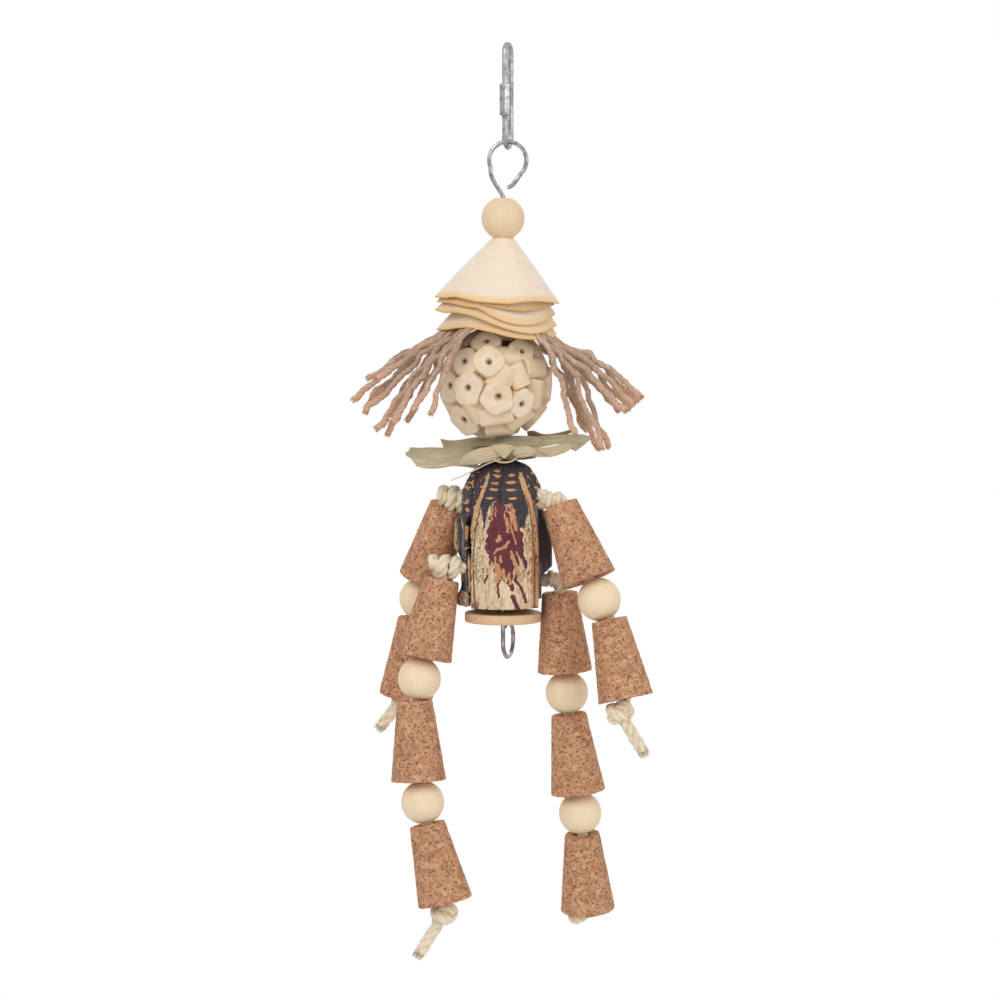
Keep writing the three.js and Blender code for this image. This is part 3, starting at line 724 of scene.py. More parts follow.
def leaf_finish(name, light, dark, line):
    """Palm leaf: fine ribs that run its length."""
    finish = Finish(name, light, 0.68, specular=0.3)
    ribs = finish.kept("rib")
    run = finish.kept("run")
    streaks = finish.clouds(finish.spot(run * 0.06, ribs), 1.3, 4, 0.65)
    fine = finish.clouds(finish.spot(run * 0.1, ribs * 4), 1.0, 3, 0.6)
    broad = finish.clouds(finish.place(), 0.09, 2, 0.5)
    finish.over(streaks, 0.36, 0.66, dark)
    finish.over(fine, 0.55, 0.75, line, 0.5)
    finish.over(broad, 0.4, 0.65, dark, 0.4)
    finish.bump(streaks, 0.2, 0.5)
    finish.bump(fine, 0.08, 0.5)
    return finish.done()


def bark_finish():
    """Pod bark: each corner keeps how black, wine, orange and tan it is, and noise breaks the edges."""
    finish = Finish("pod bark", (236, 216, 184), specular=0.4)
    fine = finish.clouds(finish.place((1.0, 1.0, 0.45)), 1.5, 4, 0.65)
    small = finish.clouds(finish.place((1.0, 1.0, 0.3)), 3.2, 3, 0.7)
    shake = (fine - 0.5) * 0.9 + (small - 0.5) * 0.5
    crack = finish.clouds(finish.place((0.9, 0.9, 0.14)), 1.0, 2, 0.5, 1.2)
    crack = 1 - finish.between(abs(crack - 0.5), 0.004, 0.03)
    vein = finish.clouds(finish.place((0.5, 0.5, 0.07), shift=(3, 5, 9)), 1.0, 3, 0.6, 0.8)
    finish.over(fine, 0.42, 0.7, (222, 192, 152))
    finish.over(vein, 0.52, 0.64, (208, 158, 112), 0.75)
    finish.over(finish.kept("tan") + shake * 0.6, 0.4, 0.75, (214, 164, 116))
    finish.lay(crack * 0.75, (150, 98, 66))
    finish.over(finish.kept("brown") + shake * 0.8, 0.5, 0.75, (112, 70, 54), 0.9)
    wine = finish.kept("wine") + shake * 0.55
    finish.over(wine, 0.25, 0.4, (178, 112, 76), 0.8)
    finish.over(wine, 0.42, 0.54, (104, 46, 54))
    dark = finish.mix(finish.between(small, 0.45, 0.7), (48, 44, 50), (74, 62, 64))
    dark = finish.mix(finish.between(vein, 0.54, 0.66) * 0.55, dark, (104, 84, 80))
    finish.over(finish.kept("black") + shake * 0.6, 0.44, 0.58, dark)
    orange = finish.mix(finish.between(fine, 0.4, 0.65), (216, 160, 116), (194, 132, 92))
    finish.over(finish.kept("fleck") + shake * 0.3, 0.38, 0.56, orange)
    finish.over(finish.kept("ash") + shake, 0.55, 0.8, (150, 140, 138), 0.55)
    finish.bump(fine, 0.4, 0.6)
    finish.bump(1 - crack, 0.25, 0.6)
    finish.bump(small, 0.12, 0.5)
    return finish.done(0.5 + 0.3 * fine)


def core_finish():
    """The dark core that shows in the gaps between the slices."""
    finish = Finish("dark core", (92, 66, 44), 0.9)
    finish.lay(finish.clouds(finish.place(), 0.8) * 0.5, (77, 55, 36))
    return finish.done()


# The second colour of each steel is painted reflection, laid in patches
nickel = steel_finish("nickel steel", (170, 168, 170), (116, 114, 116), 0.22)
drawn_wire = steel_finish("drawn wire", (172, 166, 170), (112, 106, 110), 0.26)
pale_wood = wood_finish("pale bead wood", (242, 222, 190), (230, 202, 164), 0.5, 0.5)
warm_wood = wood_finish("warm bead wood", (236, 212, 178), (224, 190, 150), 0.6, 0.5)
disc_wood = wood_finish("disc wood", (226, 192, 154), (208, 166, 126), 0.6, 0.55)
cork = cork_finish()
rope_fibre = fibre_finish("rope fibre", (248, 235, 211), (224, 205, 175), 9)
jute = fibre_finish("jute twine", (212, 182, 160), (164, 132, 110), 4, (220, 176, 144), 0.15)
shaving = shaving_finish()
cane = cane_finish()
ball_core_dark = core_finish()
olive_leaf = leaf_finish("olive palm leaf", (204, 194, 164), (168, 158, 128), (140, 130, 104))
tan_leaf = leaf_finish("tan palm leaf", (214, 198, 168), (188, 170, 138), (156, 136, 108))
brown_leaf = leaf_finish("brown leaf stalk", (170, 140, 116), (136, 104, 82), (104, 78, 60))
# A dark leaf for the collar's middle: painted shade under the ball and the leaves
painted_shade_leaf = leaf_finish("shaded palm leaf", (132, 116, 88), (104, 88, 64), (76, 62, 46))
straw_leaf = leaf_finish("pale straw", (214, 192, 156), (196, 170, 132), (170, 142, 106))
bark = bark_finish()


def finished(obj, material, body, replaces=()):
    """Gives a piece its material and its body where it has one, and hides the solids it stands for."""
    obj.data.materials.clear()
    obj.data.materials.append(material)
    if body:
        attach(obj, body)
    if replaces:
        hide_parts(*replaces)
    return obj


# Camera, at the photograph's angle


def make_camera():
    """Stands where the photograph's camera did."""
    back = Vector((0, -math.cos(CAMERA_RISE), math.sin(CAMERA_RISE)))
    nothing_selected()
    bpy.ops.object.camera_add(location=(TARGET + CAMERA_AWAY * back) * MM)
    camera = added("camera")
    camera.rotation_mode = "QUATERNION"
    camera.rotation_quaternion = (-back).to_track_quat("-Z", "Y")
    camera.data.sensor_width = SENSOR
    camera.data.lens = SENSOR * CAMERA_AWAY / (IMAGE * PIXEL)
    camera.data.clip_start = 0.05
    camera.data.clip_end = 20
    bpy.context.scene.camera = camera


make_camera()

# Cords: the hair's strands of twine

HAIR_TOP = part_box("hair_tie")[1].z / MM
ROOT_DEPTH = 14.6
ROOT_RADIUS = 5.5
TWINE = 2.9
HAIR_STEP = 0.8
HAIR_WAVE, HAIR_RIPPLE, HAIR_SWING = 2.2, 0.9, 2.4
HAIR = {"left": [
    # the root's angle round the wire, where it leaves the brim and its tip, as pixel and depth, and
    # how far it bows up between them
    (186, (443, 331, -6), (354, 400, -4), 2.5),
    (176, (441, 333, 4), (369, 379, 6), 1.5),
    (192, (447, 333, -10), (378, 380, -12), 1.0),
    (182, (445, 335, 0), (366, 407, 1), 2.5),
    (200, (450, 335, -13), (367, 413, -10), 3.0),
    (170, (446, 336, 8), (372, 398, 11), 2.0),
    (206, (455, 334, -16), (377, 428, -16), 3.5),
    (196, (452, 337, -8), (387, 433, -9), 3.5),
    (164, (449, 337, 12), (383, 424, 16), 3.0),
    (212, (460, 333, -20), (392, 422, -22), 3.0),
    (158, (452, 338, 15), (396, 418, 20), 2.5),
    (218, (466, 332, -23), (415, 411, -25), 4.0),
    (222, (468, 331, -24), (431, 413, -27), 5.0),
    (150, (456, 339, 18), (408, 420, 24), 3.0),
], "right": [
    (-6, (551, 337, -6), (641, 396, -6), 3.0),
    (2, (552, 338, 0), (637, 400, 0), 3.5),
    (-12, (549, 338, -10), (633, 404, -10), 3.0),
    (8, (551, 338, 5), (629, 408, 5), 2.5),
    (-18, (547, 339, -14), (623, 413, -14), 3.0),
    (14, (549, 339, 10), (616, 412, 10), 2.5),
    (-2, (550, 340, -3), (608, 446, -3), 7.0),
    (-24, (544, 339, -17), (601, 448, -12), 8.0),
    (20, (546, 340, 14), (596, 449, 12), 7.0),
    (-32, (540, 338, -20), (575, 434, -20), 6.0),
    (26, (542, 340, 18), (590, 424, 20), 6.0),
    (32, (538, 340, 21), (584, 430, 24), 5.0),
]}


def hair_path(angle, under_brim, tip, crest, draw):
    """A strand from the tie out under the brim and down to its tip, waving as it goes."""
    turn = math.radians(angle)
    root = Vector((math.cos(turn), math.sin(turn), 0)) * ROOT_RADIUS
    root += Vector((STEM_X, 0, HAIR_TOP - ROOT_DEPTH))
    exit_, end = seen(*under_brim), seen(*tip)
    inside = root.lerp(exit_, 0.5) + UP * 1.2
    middle = exit_.lerp(end, 0.5) + UP * crest
    points = smooth_path([root, inside, exit_, middle, end], HAIR_STEP)
    along = (end - exit_).normalized()
    sideways = along.cross(UP).normalized()
    upward = sideways.cross(along)
    seed = draw.uniform(0, 90)
    for i, point in enumerate(points):
        far = i * HAIR_STEP
        grown = min(1, 2.5 * i / (len(points) - 1))
        lift = HAIR_WAVE * drift(far / 9, seed, 0) + HAIR_RIPPLE * drift(far / 4, 0, seed)
        swing = HAIR_SWING * drift(seed, far / 11, 7)
        point += (upward * lift + sideways * swing) * grown
    return points


def make_hair():
    """Every strand of twine, laid, fuzzed and frayed at its tip."""
    for side, strands in HAIR.items():
        for n, (angle, under_brim, tip, crest) in enumerate(strands):
            draw = random.Random(f"{side} {n}")
            points = hair_path(angle, under_brim, tip, crest, draw)
            weave = Weave()
            weave.strands(
                points, TWINE * draw.uniform(0.86, 1.06), 3, draw.uniform(8, 11), 8,
                phase=draw.uniform(0, 6), yarns=4, share=0.68,
                loose=lambda share: 1 + 0.6 * max(0, share - 0.8) / 0.2,
            )
            outer = points[len(points) // 3:]
            weave.fuzz(outer, TWINE, 12, 3.2, 0.7, 0.06, draw, (0.33, 1.0))
            ahead = (points[-1] - points[-6]).normalized()
            weave.brush(points[-1] - ahead * 0.6, ahead, 26, 2.4, 1.7, 1.2, 0.24, draw, 0.3)
            strand = weave.made(f"hair_strand_{side}_{n + 1}")
            path = [*points, points[-1] + ahead * 0.8]
            finished(strand, jute, "hair")
            points[0] * MM
            path_length(path) * MM
            [p * MM for p in path]
        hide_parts(f"hair_{side}")


make_hair()

# Ropes of the arms and legs

ROPE = 5.5
ROPE_LAY = 15.0
ROPE_STEP = 0.6
TAIL_HIDDEN = 16
TAIL_REACH = 1.75
STRAND_SHARE = 0.52
FUZZ_LENGTH = 4.5
LIMBS = {
    "arm_left": ["cork_upper", "bead_middle", "cork_lower"],
    "arm_right": ["cork_upper", "bead_middle", "cork_lower"],
    "leg_left": ["cork_1", "bead_2", "cork_3", "bead_4", "cork_5"],
    "leg_right": ["cork_1", "bead_2", "cork_3", "bead_4", "cork_5"],
}
CORK_LENGTH = 37.0
CORK_TOP = 16.2
CORK_BOTTOM = 25.4
CORK_RING = 1.1
CORK_CUTS = 46
BEAD = 20.0
BORE = 6.6
BORE_LIP = 0.4
BEAD_HALF = math.sqrt((BEAD / 2) ** 2 - (BORE / 2 + BORE_LIP) ** 2)


def piece_length(kind):
    """How much of the rope a cork or bead covers."""
    return CORK_LENGTH if kind.startswith("cork") else 2 * BEAD_HALF


def limb_places(limb):
    """For each threaded piece: its name, the middle of its top face, and the way it points down."""
    places = []
    for kind in LIMBS[limb]:
        spin = f"{limb}_{kind}_spin"
        places.append((kind, joint_place(spin), -joint_axis(spin)))
    return places


def rope_piece(path, draw, fuzz=0):
    """Three strands twisted round a path, with a number of loose fibres."""
    weave = Weave()
    weave.strands(path, ROPE, 3, ROPE_LAY, 15, yarns=5, share=STRAND_SHARE)
    if fuzz:
        weave.fuzz(path, ROPE, fuzz, FUZZ_LENGTH, 0.9, 0.06, draw)
    return weave


def make_limb_ropes(limb):
    """A length of rope through each threaded piece, laid through the place of its joint."""
    draw = random.Random(limb)
    start = None
    for kind, top, way in limb_places(limb):
        step = kind.split("_")[1]
        body = f"{limb}_{step}"
        middle = top + way * piece_length(kind) / 2
        bend = joint_place(f"{body}_bend")
        if start:
            before, body_before, way_before = start
            marks = [before, bend - way_before * 3, bend, bend + way * 3, middle]
        else:
            marks = [bend, bend.lerp(top, 0.5), top, top + way * 4, middle]
        name = f"{limb}_rope_{step}"
        rope = rope_piece(smooth_path(marks, ROPE_STEP), draw, 14).made(f"{name}_twisted")
        finished(rope, rope_fibre, None, [name])
        if start:
            (bend - way_before * 5) * MM
            (bend + way * 5) * MM
            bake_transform(rope)
        elif limb.startswith("arm"):
            (top + way * 2) * MM
            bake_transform(rope)
        else:
            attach(rope, body)
        start = middle, body, way


def trefoil(centre, across, up, size, height):
    """The turns of an overhand knot round the rope that runs through its middle."""
    third = across.cross(up)
    points = []
    for i in range(72):
        t = 2 * math.pi * i / 72
        wide = 2 + math.cos(3 * t)
        points.append(
            centre + across * size * wide * math.cos(2 * t) + third * size * wide * math.sin(2 * t)
            + up * height * math.sin(3 * t)
        )
    points.append(points[0].copy())
    return even_path(points, ROPE_STEP)


# An end knot's drop below the cork, the size of its turns and their height
FULL_KNOT = (5.5, 1.45, 2.5)
SHORT_KNOT = (3.5, 0.95, 0.9)


def end_knot(limb, shift, knot_size):
    """The knot under a limb's last piece, shifted to the side."""
    drop, size, height = knot_size
    kind, top, way = limb_places(limb)[-1]
    last = kind.split("_")[1]
    bottom = top + way * CORK_LENGTH
    across = (Vector((1, 0, 0)) - way * way.x).normalized()
    centre = bottom + way * drop + across * shift
    weave = Weave()
    turns = trefoil(centre, across, -way, size, height)
    weave.strands(turns, ROPE, 3, ROPE_LAY, 12, yarns=4, share=STRAND_SHARE)
    knot = weave.made(f"{limb}_end_knot")
    finished(knot, rope_fibre, f"{limb}_{last}")
    return bottom, centre, way


def make_tail(limb, shift, draw, knot_size=FULL_KNOT):
    """The frayed end past a limb's knot. It starts inside the cork and bends at the knot."""
    bottom, centre, way = end_knot(limb, shift, knot_size)
    box_low, box_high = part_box(f"{limb}_tail")
    start = joint_place(f"{limb}_tail_bend")
    tip = start + ((box_low + box_high) / MM / 2 - start) * TAIL_REACH
    marks = [bottom - way * TAIL_HIDDEN, bottom, centre, start, start.lerp(tip, 0.5), tip]
    path = smooth_path(marks, ROPE_STEP)
    weave = rope_piece(path, draw)
    weave.fuzz(path[len(path) // 2:], ROPE, 90, FUZZ_LENGTH, 1.0, 0.07, draw, (0.3, 1.0))
    ahead = (path[-1] - path[-8]).normalized()
    weave.brush(path[-1] - ahead * 1.5, ahead, 90, 5.0, 2.6, 2.2, 0.18, draw, 0.8)
    tail = weave.made(f"{limb}_tail_frayed")
    finished(tail, rope_fibre, None, [f"{limb}_tail"])
    bent = start + (tip - start) * 0.3
    (start - way * 2) * MM
    bent * MM
    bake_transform(tail)
    path[0] * MM
    path_length(path) * MM
    [p * MM for p in path]


draw = random.Random("tails")
make_tail("arm_left", -2.0, draw, SHORT_KNOT)
make_tail("arm_right", -4.2, draw)
make_tail("leg_left", -2.0, draw)
end_knot("leg_right", -5.0, SHORT_KNOT)
for limb in LIMBS:
    make_limb_ropes(limb)


def bent_rope(name, points, draw, body, replaces, fuzz):
    rope = rope_piece(smooth_path(points, ROPE_STEP), draw, fuzz).made(name)
    finished(rope, rope_fibre, body, replaces)


def rope_ring(name, centre, radius, draw, body, start, end, lean):
    """A turn of rope round another, that climbs to the side as it goes."""
    across = Vector((0, 1, 0))
    points = arc(centre, across, UP, radius, start, end, 15)
    for i, point in enumerate(points):
        point += across.cross(UP) * lean * (i / (len(points) - 1) - 0.5)
    bent_rope(name, points, draw, body, (), 50)


def coil(name, centre, radius, pitch, turns, start, draw, body, lead, away, replaces=()):
    """Turns of rope side by side round a line along X, between the rope that leads in and out."""
    points = list(lead)
    steps = round(turns * 16)
    for i in range(steps + 1):
        angle = math.radians(start) + 2 * math.pi * turns * i / steps
        along = pitch * turns * (i / steps - 0.5)
        points.append(centre + Vector((-along, radius * math.cos(angle), radius * math.sin(angle))))
    points += away
    bent_rope(name, points, draw, body, replaces, 150)


def make_shoulders():
    """The knots that hold the arms: a coil at the left, a hitch at the right."""
    draw = random.Random("shoulders")
    left = joint_place("arm_left_upper_bend")
    middle = left + Vector((0.9, 0, -1.9))
    coil(
        "arm_left_knot_turns", middle, 4.3, 4.7, 2.0, 150, draw, "arm_left_knot",
        [left + Vector((10, 0, 0)), left + Vector((6.5, 0.4, 0.6))], [left + Vector((-3.2, 1.0, -3.6))],
        ["arm_left_knot"],
    )
    right = joint_place("arm_right_upper_bend")
    bent_rope(
        "arm_right_knot_inner",
        [right + Vector(step) for step in (
            (-10, 0, -4.4), (-5.5, 0, -3.9), (-1.5, 0, -2.2), (1.6, 0, -2.0), (3.2, 0, -3.8),
            (3.6, 0, -6.4),
        )],
        draw, "arm_right_knot", ["arm_right_knot"], 110,
    )
    rope_ring(
        "arm_right_knot_turn", right + Vector((-3.0, 0, -3.2)), 2.5, draw, "arm_right_knot",
        start=-40, end=380, lean=5.0,
    )


def make_hips():
    """The turns of rope where the legs leave the pod."""
    draw = random.Random("hips")
    left = joint_place("leg_left_1_bend")
    coil(
        "leg_left_hip_turns", left + Vector((0.2, 0, 0.4)), 3.3, 5.6, 2.0, 120, draw, "leg_left_1",
        [left + Vector((11, 0, 0)), left + Vector((7, 0.4, 0.4))], [left + Vector((-1.2, 0, -3.4))],
    )
    right = joint_place("leg_right_1_bend")
    bent_rope(
        "leg_right_hip_inner",
        [right + Vector(step) for step in (
            (-9.5, 0, 0.8), (-5, 0, 0.9), (-1.2, 0, 1.4), (1.2, 0, 0), (1.2, 0, -3),
        )],
        draw, "leg_right_1", (), 150,
    )
    rope_ring(
        "leg_right_hip_turn", right + Vector((-3.2, 0, 0.8)), 1.6, draw, "leg_right_1",
        start=-30, end=330, lean=4.0,
    )


make_shoulders()
make_hips()


def make_crossings():
    """The ropes inside the pod, from shoulder to shoulder and from hip to hip, past the wire."""
    draw = random.Random("crossings")
    half = Vector((9, 0, 0))
    for limb, first, depth, gap in (("arm", "upper", -4.4, 4.4), ("leg", "1", 4.4, 5.4)):
        left = joint_place(f"{limb}_left_{first}_bend")
        right = joint_place(f"{limb}_right_{first}_bend")
        middle = Vector((STEM_X, depth, (left.z + right.z) / 2))
        left.x += gap
        right.x -= gap
        points = [
            left, left + half * 0.8, middle - half * 0.3, middle + half * 0.3, right - half * 0.8, right,
        ]
        bent_rope(f"{limb}_rope_inside", points, draw, "torso", [f"{limb}_rope_cross"], 0)


make_crossings()

# Steel: the quick link, its sleeve, and the wire

LINK_WIRE = 2.6
LINK_YAW = math.radians(-15)
LINK_SPACING = 10.5
LINK_HEIGHT = 50.0
LINK_OPENING = 8.0
NUT_RADIUS = 2.85
NUT_LENGTH = 14.7
NUT_WALL = 1.15
NUT_WAIST = 4.6
WAIST_HALF = 0.35
NARROW_WAIST, NARROW_END = 0.955, 0.93
WIRE = 2.0


def make_link():
    """The bent loop with its opening, and the six-sided nut that closes it."""
    half = LINK_SPACING / 2
    upper = LINK_WIRE / 2 - half
    lower = 1.5 * LINK_WIRE - LINK_HEIGHT + half
    level = (upper + lower) / 2 - 2.1
    front, up = Vector((0, -1, 0)), UP
    points = [front * half + up * (level + LINK_OPENING / 2)]
    points += arc(up * upper, front, up, half, 0, 180)
    points += arc(up * lower, front, up, half, 180, 360)
    points += [front * half + up * (level - LINK_OPENING / 2)]
    turn = Matrix.Rotation(LINK_YAW, 4, "Z")
    link = wire_piece("link_loop", [turn @ p for p in points], LINK_WIRE)
    finished(link, nickel, "link", ["quick_link"])

    sleeve = shape(
        bpy.ops.mesh.primitive_cylinder_add, "link_nut", vertices=6, radius=NUT_RADIUS, depth=NUT_LENGTH,
        end_fill_type="NGON",
    )
    bored(sleeve, flat_end, [NUT_WALL])
    for waist in (-NUT_WAIST, NUT_WAIST):
        for side in (-WAIST_HALF, WAIST_HALF):
            edited(sleeve, [
                lambda mesh: bpy.ops.mesh.select_all(action="SELECT"),
                lambda mesh, z=waist + side: bpy.ops.mesh.bisect(plane_co=(0, 0, z), plane_no=(0, 0, 1)),
            ])
    for vertex in sleeve.data.vertices:
        radius, level_here = vertex.co.xy.length, abs(vertex.co.z)
        narrower = 1.0
        if abs(level_here - NUT_WAIST) < 0.5 and radius > 2:
            narrower = NARROW_WAIST
        if level_here > 7.2 and radius > 2.2:
            narrower = NARROW_END
        vertex.co.x *= narrower
        vertex.co.y *= narrower
    bevelled(sleeve, 0.25, 3, 28)
    turned_outwards(sleeve)
    spot = turn @ Matrix.Translation((0, -half, level)) @ Matrix.Rotation(math.radians(12), 4, "Z")
    placed(sleeve, spot)
    smoothed(sleeve, 35)
    finished(sleeve, nickel, "sleeve", ["link_sleeve"])


def make_wire():
    """One wire: the open upper eye, its neck, the straight stem and the lower eye."""
    eye_radius, eye_offset, neck_drop = 8.6, 2.2, 17.0
    lower_radius, lower_turn, lower_yaw = 8.2, 308, math.radians(73)
    bow = 1.5 * LINK_WIRE - LINK_HEIGHT
    eye_level = bow + (LINK_WIRE + WIRE) / 2 + 0.3 - eye_radius
    disc_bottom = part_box("base_disc")[0].z / MM
    x, up = Vector((1, 0, 0)), UP
    upper = arc(x * eye_offset + up * eye_level, x, up, eye_radius, -45, 200)

    def bends(shares, side):
        return [Vector((out * side.x, 0, eye_level - down * neck_drop)) for out, down in shares]

    open_end = bends([[0.24, 0.73], [0.48, 0.69], [0.74, 0.54]], upper[0])
    neck = bends([[0.92, 0.4], [0.63, 0.63], [0.26, 0.83], [0.05, 0.94]], upper[-1])
    stem = [up * (eye_level - neck_drop), up * (eye_level - neck_drop - 40), up * disc_bottom]
    lower_level = disc_bottom - lower_radius - WIRE / 2 - 0.3
    lower = arc(x * lower_radius + up * lower_level, x, up, lower_radius, 180, 180 + lower_turn)
    yaw = Matrix.Rotation(lower_yaw, 4, "Z")
    lower = [yaw @ p for p in lower]
    top_part = smooth_path([*open_end, *upper[::3], upper[-1], *neck, stem[0], stem[0] - up * 3], 0.5)
    points = [*top_part, stem[1], stem[2] + up, *lower]
    shifted = [p + Vector((STEM_X, 0, 0)) for p in points]
    wire = wire_piece("stem_wire", shifted, WIRE)
    finished(wire, drawn_wire, "hanger", ["hanger_wire"])


make_link()
make_wire()

# Beads and corks


def bored_bead(name, segments=48):
    """A turned ball, cut flat at its poles and bored through."""
    bead = shape(
        bpy.ops.mesh.primitive_uv_sphere_add, name, segments=segments, ring_count=32, radius=BEAD / 2,
    )
    for side in (-1, 1):
        edited(bead, [
            lambda mesh: bpy.ops.mesh.select_all(action="SELECT"),
            lambda mesh, s=side: bpy.ops.mesh.bisect(
                plane_co=(0, 0, s * BEAD_HALF), plane_no=(0, 0, s), clear_outer=True,
            ),
        ])
    edited(bead, [
        lambda mesh: pick(mesh, edges=lambda edge: edge.is_boundary),
        lambda mesh: bpy.ops.mesh.edge_face_add(),
    ])
    bored(bead, lambda face: abs(face.normal.z) > 0.99 and len(face.verts) > 20, [BORE_LIP], number_cuts=6)
    bevelled(bead, 0.35, 3, 30)
    turned_outwards(bead)
    return smoothed(bead, 45)


def plain_cork():
    """A cork with its top face at 0 and its length down -Z, ready for its grain."""
    obj = shape(
        bpy.ops.mesh.primitive_cone_add, "cork_master", vertices=96, radius1=CORK_BOTTOM / 2,
        radius2=CORK_TOP / 2, depth=CORK_LENGTH, location=(0, 0, -CORK_LENGTH / 2), end_fill_type="NGON",
    )
    bpy.ops.object.transform_apply(location=True)

    def ends(face):
        return flat_end(face) and len(face.verts) > 20

    def at_level(face, level):
        return abs(face.calc_center_median().z - level) < 0.1

    edited(obj, [
        lambda mesh: pick(mesh, edges=lambda edge: abs(edge.verts[0].co.z - edge.verts[1].co.z) > 1),
        lambda mesh: bpy.ops.mesh.subdivide(number_cuts=CORK_CUTS),
    ])
    for side, radius in ((0, CORK_TOP / 2), (-CORK_LENGTH, CORK_BOTTOM / 2)):
        rings = max(3, round((radius - BORE / 2) / CORK_RING))
        for _ in range(rings):
            edited(obj, [
                lambda mesh: pick(mesh, faces=lambda face: ends(face) and at_level(face, side)),
                lambda mesh: bpy.ops.mesh.inset(thickness=(radius - BORE / 2) / rings),
            ])
    bored(obj, ends, [])
    bevelled(obj, 0.3, 3, 40)
    turned_outwards(obj)
    return obj


CRUMB, CRUMB_DEPTH = 0.0024, 0.0003
WAVE, WAVE_DEPTH = 0.0016, 0.0004


def grain_texture(name, kind, **settings):
    return given(bpy.data.textures.new(name, kind), settings)


def make_threaded():
    """A cork or bead at each place on a limb, each turned its own way."""
    bead = bored_bead("bead_master")
    plain = plain_cork()
    crumbs = grain_texture("crumbs", "VORONOI", noise_scale=CRUMB, noise_intensity=1.0)
    waves = grain_texture("waves", "CLOUDS", noise_scale=WAVE, noise_depth=2)
    for limb in LIMBS:
        for n, (kind, top, way) in enumerate(limb_places(limb)):
            is_cork = kind.startswith("cork")
            turn = Matrix.Rotation(1.3 * n + len(limb), 4, "Z")
            aim = (-way).rotation_difference(UP).inverted().to_matrix().to_4x4()
            lower = Matrix.Translation((0, 0, 0 if is_cork else -BEAD_HALF))
            spot = Matrix.Translation(top) @ aim @ lower @ turn
            name = f"{limb}_{kind}"
            obj = copied(plain if is_cork else bead, f"{name}_fine")
            placed(obj, spot)
            if is_cork:
                for texture, strength, level in ((crumbs, CRUMB_DEPTH, 0.35), (waves, -WAVE_DEPTH, 0.55)):
                    modified(
                        obj, "DISPLACE", texture=texture, strength=strength, mid_level=level,
                        texture_coords="LOCAL",
                    )
                smoothed(obj, 50)
            finished(obj, cork if is_cork else pale_wood, name, [name])
    for master in (bead, plain):
        bpy.data.objects.remove(master)


def make_top_bead():
    """The bead over the hat."""
    bead = bored_bead("top_bead_fine", 64)
    centre = box_middle("top_bead")
    placed(bead, Matrix.Translation(centre) @ Matrix.Rotation(0.5, 4, "Z"))
    finished(bead, warm_wood, "top_bead", ["top_bead"])


make_threaded()
make_top_bead()

# Hat: nested cones of wood shaving with ruffled rims

HAT_FLAT = 4.5
CROWN_BORE = 3.2
SHAVING = 0.65
HAT_RIMS = [
    # the pixels of each rim, from its left tip round the front to its right tip
    [(434.9, 297.6), (446, 298.4), (455.5, 297.6), (467, 300), (478.5, 302.4), (494, 303.6), (508.8, 304.3),
     (519.8, 303), (533.6, 301.9), (547.4, 303), (559.3, 304.1)],
    [(438.6, 300.6), (455, 301.5), (470, 303.5), (485, 305.8), (497, 308.2), (510.6, 310.4), (524.4, 311.4),
     (536.4, 310.2), (545, 307.8), (553.2, 305.5)],
    [(437.2, 302.6), (446.4, 303), (454.6, 304.2), (466.6, 307), (477.6, 308.6), (484.9, 312.5),
     (492.3, 317.2), (506, 323), (519.8, 325.8), (533, 325.3), (543.7, 322), (550, 318), (554.9, 315)],
    [(434.9, 310.5), (445.4, 313.2), (455.5, 313), (469.3, 315.7), (477, 318.2),
     (484.9, 321.3), (496.9, 326.3), (510.6, 330.8), (524.4, 333.8),
     (535, 334.4), (545.5, 331.8), (552, 328), (556.2, 326)],
    [(437.2, 330.2), (446.4, 330.3), (458.3, 328.6), (469.3, 328.2), (483.1, 330.9), (496.9, 334.1),
     (510.6, 337.7), (524.4, 339.6), (535, 340.2), (545.5, 340.8), (552, 338.5), (555.5, 335)],
]


